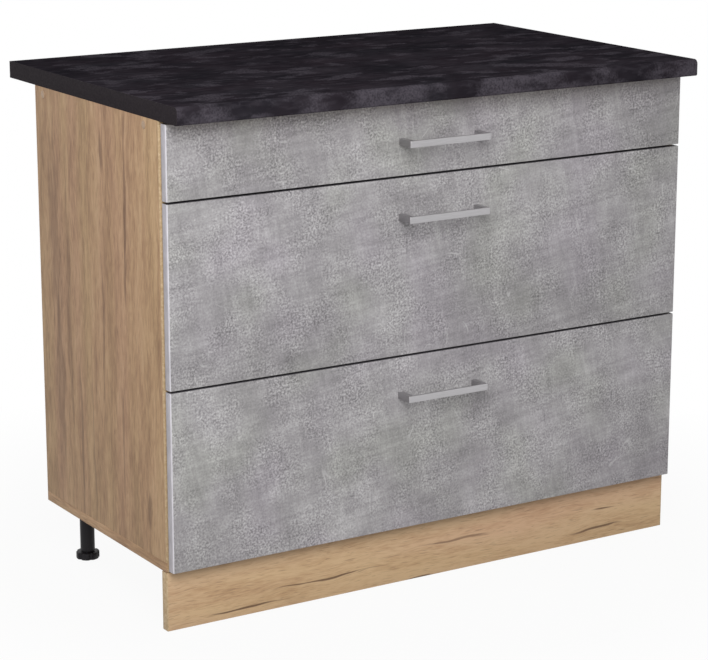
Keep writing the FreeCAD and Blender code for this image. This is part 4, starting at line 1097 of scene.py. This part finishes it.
def riveted_pin(steps, centre):
    """A roller's pin with its collar and riveted head. Steps are along X from the centre: where
    the collar starts, where it ends, the head's near face and its far face."""
    size = sizes()
    start, collar, near, far = steps
    rings = (
        (start, size.pin_collar),
        (collar, size.pin_collar),
        (collar, size.pin),
        (near, size.pin),
        (near, size.pin_head),
        ((near + far) / 2, size.pin_head),
        (far, size.pin_head * 0.7),
    )
    return turned(rings, centre, "x", "zinc_plating", 24)


def roller_place(kind, drawer):
    """From a left roller: its axis where it meets the cabinet's side, and how far from there its
    near and far faces are."""
    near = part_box(kind + drawer)[0].x - side_face()
    centre = middle_of(kind + drawer)
    centre.x = side_face()
    return centre, near, near + sizes().roller_width


class CABINET_OT_runners(bpy.types.Operator):
    """C-shaped runners with an open mouth, spare slots, a rear tab and the front roller's pin"""

    bl_idname = "cabinet.runners"
    bl_label = "Runners"

    def channel(self, base):
        """The folded channel with its mouth cut open and the tab at its rear end."""
        size = sizes()
        low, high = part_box("cabinet_runners_left")
        half = size.runner_sheet / 2
        lower, upper = base + half, base + size.runner_height - half
        flange = side_face() + size.runner_flange
        web = side_face() + half
        bend = web + size.fold
        points = ((upper, flange), (upper, web), (lower, web), (lower, flange))
        channel = folded(points, "y", low.y, high.y - half, size.fold, "powder_coat")
        mouth = low.y + size.runner_mouth
        split("y", mouth)
        pick("FACE", lambda c: c.z > upper - NEAR and c.y < mouth + NEAR and c.x > bend - NEAR)
        bpy.ops.mesh.delete(type="FACE")
        thicken(channel, size.runner_sheet)
        tab_low = (bend, high.y - size.runner_sheet, base)
        tab = cube(tab_low, (flange, high.y, base + size.runner_stop), "powder_coat")
        bpy.ops.mesh.bevel(offset=size.stop_edge, segments=2)
        return join(channel, tab)

    def execute(self, context):
        size = sizes()
        base = runner_z(DRAWERS[0])
        runner = self.channel(base)

        # a spare slot halfway between each two screws
        low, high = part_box("runner_screws")
        quarter = (high.y - low.y) / 4 - SCREWS["runner_screws"][0] * MM / 2
        middle = (low.y + high.y) / 2
        web = side_face() + size.runner_sheet / 2
        through = 4 * MM
        reach = Vector((through, size.slot_length / 2, size.slot_height / 2))
        for y in (middle - quarter, middle + quarter):
            centre = Vector((web, y, base + size.runner_height / 2))
            low, high = centre - reach, centre + reach
            cutter = cube(low, high, "powder_coat")
            for across in (low.y, high.y):
                for up in (low.z, high.z):
                    soften(at(y=across, z=up), size.slot_height * 0.48, 5)
            cut_out(runner, cutter)

        centre, near, far = roller_place("cabinet_rollers_", DRAWERS[0])
        room = size.pin_room
        steps = (size.runner_sheet, near - room, far + room, far + room + size.pin_head_height)
        join(runner, riveted_pin(steps, centre))
        copy_to([(0, 0, runner_z(drawer)) for drawer in DRAWERS])
        keep_sides(runner, "cabinet_runners_%s", "cabinet")
        return {"FINISHED"}


class CABINET_OT_rollers(bpy.types.Operator):
    """Nylon rollers with a hub, a rim and a dish between them"""

    bl_idname = "cabinet.rollers"
    bl_label = "Rollers"

    def execute(self, context):
        size = sizes()
        bore = size.pin + size.running_gap
        hub, dish = size.roller_hub, size.roller_dish
        edge, ease = size.roller_edge, size.roller_ease
        for kind in ("cabinet_rollers_", "drawer_rollers_"):
            for drawer in DRAWERS:
                name = kind + drawer
                low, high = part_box(name)
                radius = (high.z - low.z) / 2
                inner = radius - size.roller_rim
                half = (
                    (0, bore),
                    (0, hub - edge),
                    (edge, hub),
                    (dish, hub + edge),
                    (dish, inner - edge),
                    (edge, inner),
                    (0, inner + edge),
                    (0, radius - ease),
                    (ease * 0.3, radius - ease * 0.3),
                    (ease, radius),
                )
                other = [(size.roller_width - along, ring) for along, ring in reversed(half)]
                centre = middle_of(name)
                centre.x = low.x
                left = turned([*half, *other, half[0]], centre, "x", "white_nylon", 48)
                keep_pair(left, name, name)
        return {"FINISHED"}


# ---- the drawers ----


class CABINET_OT_fronts(bpy.types.Operator):
    """Drawer fronts, their foil wrapped round a soft rim, with a painted highlight on the rim, painted
    light and shade on the ends and painted shade on the upper and lower edges
    """

    bl_idname = "cabinet.fronts"
    bl_label = "Drawer fronts"

    def execute(self, context):
        size = sizes()
        room = Vector((0, 0, size.front_room))
        for drawer in DRAWERS:
            name = "drawer_front_" + drawer
            low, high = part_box(name)
            low, high = low + room, high - room
            front = cube(low, high, "concrete_foil")
            for x in (low.x, high.x):
                soften(at(x=x, y=low.y), size.front_rim, 7)
            face = low.y + size.front_rim
            for z in (low.z, high.z):
                soften(lambda c: abs(c.z - z) < NEAR and c.y < face + NEAR, size.front_arris, 3)
            soften(at(y=high.y), size.board_edge, 2)
            # the rim gets a painted highlight, and the ends painted light and shade
            flat = high.x - size.front_rim * 0.6
            for side in (-1, 1):
                paint("rim_painted_highlight", lambda c: c.x * side > flat)
                paint("end_painted_light_and_shade", lambda c: c.x * side > flat and c.y > face - NEAR)
            # the upper and lower edges get painted shade, which keeps the gaps between the fronts dark
            for z in (low.z, high.z):
                paint("painted_gap_shade", at(z=z))
            paint("front_backing", at(y=high.y))
            keep(front, name, "drawer_" + drawer)
        return {"FINISHED"}


class CABINET_OT_handles(bpy.types.Operator):
    """Flat bow handles and the screws that hold them"""

    bl_idname = "cabinet.handles"
    bl_label = "Handles"

    def execute(self, context):
        size = sizes()
        for drawer in DRAWERS:
            name = "handle_" + drawer
            low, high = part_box(name)
            back = low.y + size.handle_bar
            handle = cube(low, (high.x, back, high.z), "satin_metal")
            inner = high.x - size.handle_leg
            for x in (-inner, inner):
                split("x", x)
            for side in (-1, 1):
                pick("FACE", lambda c: c.y > back - NEAR and c.x * side > inner - NEAR)
                draw_out((0, high.y - back, 0))
            corners = ((inner, back, size.handle_inner, 6), (high.x, low.y, size.handle_outer, 4))
            for x, y, radius, segments in corners:
                soften(lambda c: abs(abs(c.x) - x) < NEAR and abs(c.y - y) < NEAR, radius, segments)
            bpy.ops.mesh.select_mode(type="EDGE")
            bpy.ops.mesh.select_all(action="DESELECT")
            bpy.ops.mesh.edges_select_sharp(sharpness=math.radians(50))
            bpy.ops.mesh.bevel(offset=size.handle_edge, segments=2)
            keep(handle, name, "drawer_" + drawer)

            low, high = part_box("handle_screws_" + drawer)
            head = SCREWS["handle_screws"][0] * MM
            place = (low.x + head, high.y, (low.z + high.z) / 2)
            screws("handle_screws", [place], "y", -1, drawer)
        return {"FINISHED"}


class CABINET_OT_drawers(bpy.types.Operator):
    """Steel sides, bottoms, backs, front brackets and railings of the three drawers"""

    bl_idname = "cabinet.drawers"
    bl_label = "Drawer boxes"

    def steel_side(self, drawer):
        """A folded side: the ledge for the bottom, a doubled flange that rides on the cabinet's
        roller, a hemmed upper edge, a tab behind the back board and the rear roller's pin."""
        size = sizes()
        low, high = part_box("drawer_side_left_" + drawer)
        base = runner_z(drawer)
        sheet = size.drawer_sheet
        half, doubled = sheet / 2, sheet * 1.1
        wall = side_face() + size.runner_space + half
        ledge = wall + half + size.drawer_ledge
        ride = base + size.ride
        flange = low.x + half
        hem = wall - doubled
        points = (
            (low.z + half, ledge),
            (low.z + half, wall),
            (ride, wall),
            (ride, flange),
            (ride + doubled, flange),
            (ride + doubled, wall),
            (high.z - half, wall),
            (high.z - half, hem),
            (high.z - size.hem, hem),
        )
        rear = high.y - half
        skin = folded(points, "y", low.y, rear, size.drawer_fold, "powder_coat")
        tab_low, tab_high = base + size.tab_low, high.z - size.tab_drop
        split("z", tab_low)
        split("z", tab_high)
        end = at(x=wall, y=rear)
        pick("EDGE", lambda c: end(c) and tab_low - NEAR < c.z < tab_high + NEAR)
        draw_out((high.x - wall, 0, 0))
        thicken(skin, sheet)
        centre, near, far = roller_place("drawer_rollers_", drawer)
        head = near - size.rear_pin_room
        steps = (size.runner_space, far + size.pin_room, head, head - size.pin_head_height)
        return join(skin, riveted_pin(steps, centre))

    def bracket(self, drawer):
        """A steel angle with two screws into the front."""
        size = sizes()
        name = "front_brackets_" + drawer
        low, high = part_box(name)
        sheet, inset = size.bracket_sheet, size.bracket_inset
        x, y = low.x + sheet / 2, low.y + sheet / 2
        reach = high.y - low.y
        points = ((low.x + reach, y), (x, y), (x, high.y))
        angle = folded(points, "z", low.z, high.z, size.fold, "zinc_plating")
        thicken(angle, sheet)
        head = size.bracket_screw
        rings = ((0, head), (0.6 * MM, head), (1.2 * MM, head - 0.8 * MM), (1.4 * MM, head - 2 * MM))
        places = [(low.x + reach * 0.62, low.y + sheet, z) for z in (low.z + inset, high.z - inset)]
        heads = turned(rings, places[0], "y", "zinc_plating", 20)
        copy_to(places)
        keep_pair(join(angle, heads), name, "drawer_" + drawer)

    def railing(self, drawer):
        """A coated rod with a flared foot at each end."""
        size = sizes()
        name = "railings_" + drawer
        low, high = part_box(name)
        foot = (high.z - low.z) / 2
        end = high.y - low.y
        thick = size.rod_foot
        start = [(0, foot), (thick * 0.6, foot), (thick * 0.9, foot * 0.9), (thick, foot * 0.75)]
        start += [(thick, size.rod * 1.15), (thick * 1.3, size.rod)]
        rings = start + [(end - along, radius) for along, radius in reversed(start)]
        centre = (low.x + foot, low.y, (low.z + high.z) / 2)
        rod = turned(rings, centre, "y", "powder_coat", 32)
        keep_pair(rod, name, "drawer_" + drawer)

    def execute(self, context):
        for drawer in DRAWERS:
            body = "drawer_" + drawer
            keep_sides(self.steel_side(drawer), "drawer_side_%s_" + drawer, body)
            for name in ("drawer_bottom_" + drawer, "drawer_back_" + drawer):
                low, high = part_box(name)
                piece = board(name, "grey_melamine")
                paint("sawn_chipboard", at(x=low.x))
                paint("sawn_chipboard", at(x=high.x))
                keep(piece, name, body)
            self.bracket(drawer)
            if "railings_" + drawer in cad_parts:
                self.railing(drawer)
        return {"FINISHED"}


# ---- the stage ----


class CABINET_OT_stage(bpy.types.Operator):
    """Pale floor, white background, a soft light and the camera"""

    bl_idname = "cabinet.stage"
    bl_label = "Stage"

    def floor_finish(self):
        """Matt white floor that shows the object's shadow and otherwise looks white."""
        material, tree, place = new_finish("white_floor")
        away = add_node(tree, "VectorMath", place, operation="LENGTH").outputs["Value"]
        # the shadow fades out between 0.6 m and 1.1 m from the middle of the floor
        fade = add_node(tree, "MapRange", away, 0.6, 1.1, 0.94, 1)
        amount = add_node(tree, "Math", self.seen(tree), fade, operation="MULTIPLY")
        emulsion = add_node(tree, "BsdfPrincipled", named={"Base Color": "#c8c8c7", "Roughness": 0.8})
        glow = add_node(tree, "Emission", "#ffffff", 1)
        mixed = add_node(tree, "MixShader", amount, emulsion, glow)
        add_node(tree, "OutputMaterial", named={"Surface": mixed})
        return material

    def seen(self, tree):
        """1 for what the camera, a reflection or glass sees, and 0 for light on the object."""
        path = add_node(tree, "LightPath").outputs
        seen = path["Is Camera Ray"]
        for ray in ("Is Glossy Ray", "Is Transmission Ray"):
            seen = add_node(tree, "Math", seen, path[ray], operation="MAXIMUM")
        return seen

    def world(self):
        """An even soft white, brighter where the camera or a reflection sees it."""
        world = bpy.data.worlds.new("studio")
        world.use_nodes = True
        tree = world.node_tree
        tree.nodes.clear()
        strength = add_node(tree, "MapRange", self.seen(tree), 0, 1, 0.5, 1)
        glow = add_node(tree, "Background", "#ffffff", strength)
        add_node(tree, "OutputWorld", named={"Surface": glow})
        bpy.context.scene.world = world

    def key_light(self):
        """A soft box, high on the left in front, aimed at the middle of the cabinet."""
        place = Vector((-1.5, -2.2, 2.1))
        aimed = (Vector((0, 0, 0.45)) - place).to_track_quat("-Z", "Y").to_euler()
        bpy.ops.object.light_add(type="AREA", location=place, rotation=aimed)
        lamp = bpy.context.object
        lamp.name = "key"
        lamp.data.size = 1.6
        lamp.data.energy = 55

    def execute(self, context):
        focus(None)
        bpy.ops.mesh.primitive_plane_add(size=14)
        floor = bpy.context.object
        floor.name = "floor"
        floor.data.materials.append(self.floor_finish())
        self.world()
        self.key_light()
        # the photograph's view: 32 degrees round to the left and 14 degrees down
        turn = (math.radians(75.89), 0, math.radians(-31.98))
        bpy.ops.object.camera_add(location=(-2.188, -3.503, 1.417), rotation=turn)
        camera = bpy.context.object
        camera.name = "camera"
        camera.data.lens = 124.4
        camera.data.sensor_width = 36
        context.scene.camera = camera
        context.scene.view_settings.view_transform = "Standard"
        return {"FINISHED"}


OPERATORS = (
    CABINET_OT_stage,
    CABINET_OT_sides,
    CABINET_OT_boards,
    CABINET_OT_back,
    CABINET_OT_worktop,
    CABINET_OT_plinth,
    CABINET_OT_legs,
    CABINET_OT_fasteners,
    CABINET_OT_runners,
    CABINET_OT_rollers,
    CABINET_OT_fronts,
    CABINET_OT_handles,
    CABINET_OT_drawers,
)


class CABINET_PT_panel(bpy.types.Panel):
    """The operators, and the sizes and colours they use"""

    bl_idname = "CABINET_PT_panel"
    bl_label = "Base cabinet"
    bl_space_type = "VIEW_3D"
    bl_region_type = "UI"
    bl_category = "Cabinet"

    def draw(self, context):
        for operator in OPERATORS:
            self.layout.operator(operator.bl_idname)
        for group in (context.scene.cabinet_sizes, context.scene.cabinet_colours):
            for name in group.__annotations__:
                self.layout.prop(group, name)


CLASSES = (CabinetSizes, CabinetColours, *OPERATORS, CABINET_PT_panel)


def register():
    for item in CLASSES:
        bpy.utils.register_class(item)
    bpy.types.Scene.cabinet_sizes = PointerProperty(type=CabinetSizes)
    bpy.types.Scene.cabinet_colours = PointerProperty(type=CabinetColours)


def unregister():
    del bpy.types.Scene.cabinet_colours
    del bpy.types.Scene.cabinet_sizes
    for item in reversed(CLASSES):
        bpy.utils.unregister_class(item)


def main():
    """Models the cabinet on its stage."""
    register()
    bpy.ops.cabinet.stage()
    bpy.ops.cabinet.sides()
    bpy.ops.cabinet.boards()
    bpy.ops.cabinet.back()
    bpy.ops.cabinet.worktop()
    bpy.ops.cabinet.plinth()
    bpy.ops.cabinet.legs()
    bpy.ops.cabinet.fasteners()
    bpy.ops.cabinet.runners()
    bpy.ops.cabinet.rollers()
    bpy.ops.cabinet.fronts()
    bpy.ops.cabinet.handles()
    bpy.ops.cabinet.drawers()


if __name__ == "__main__":
    main()
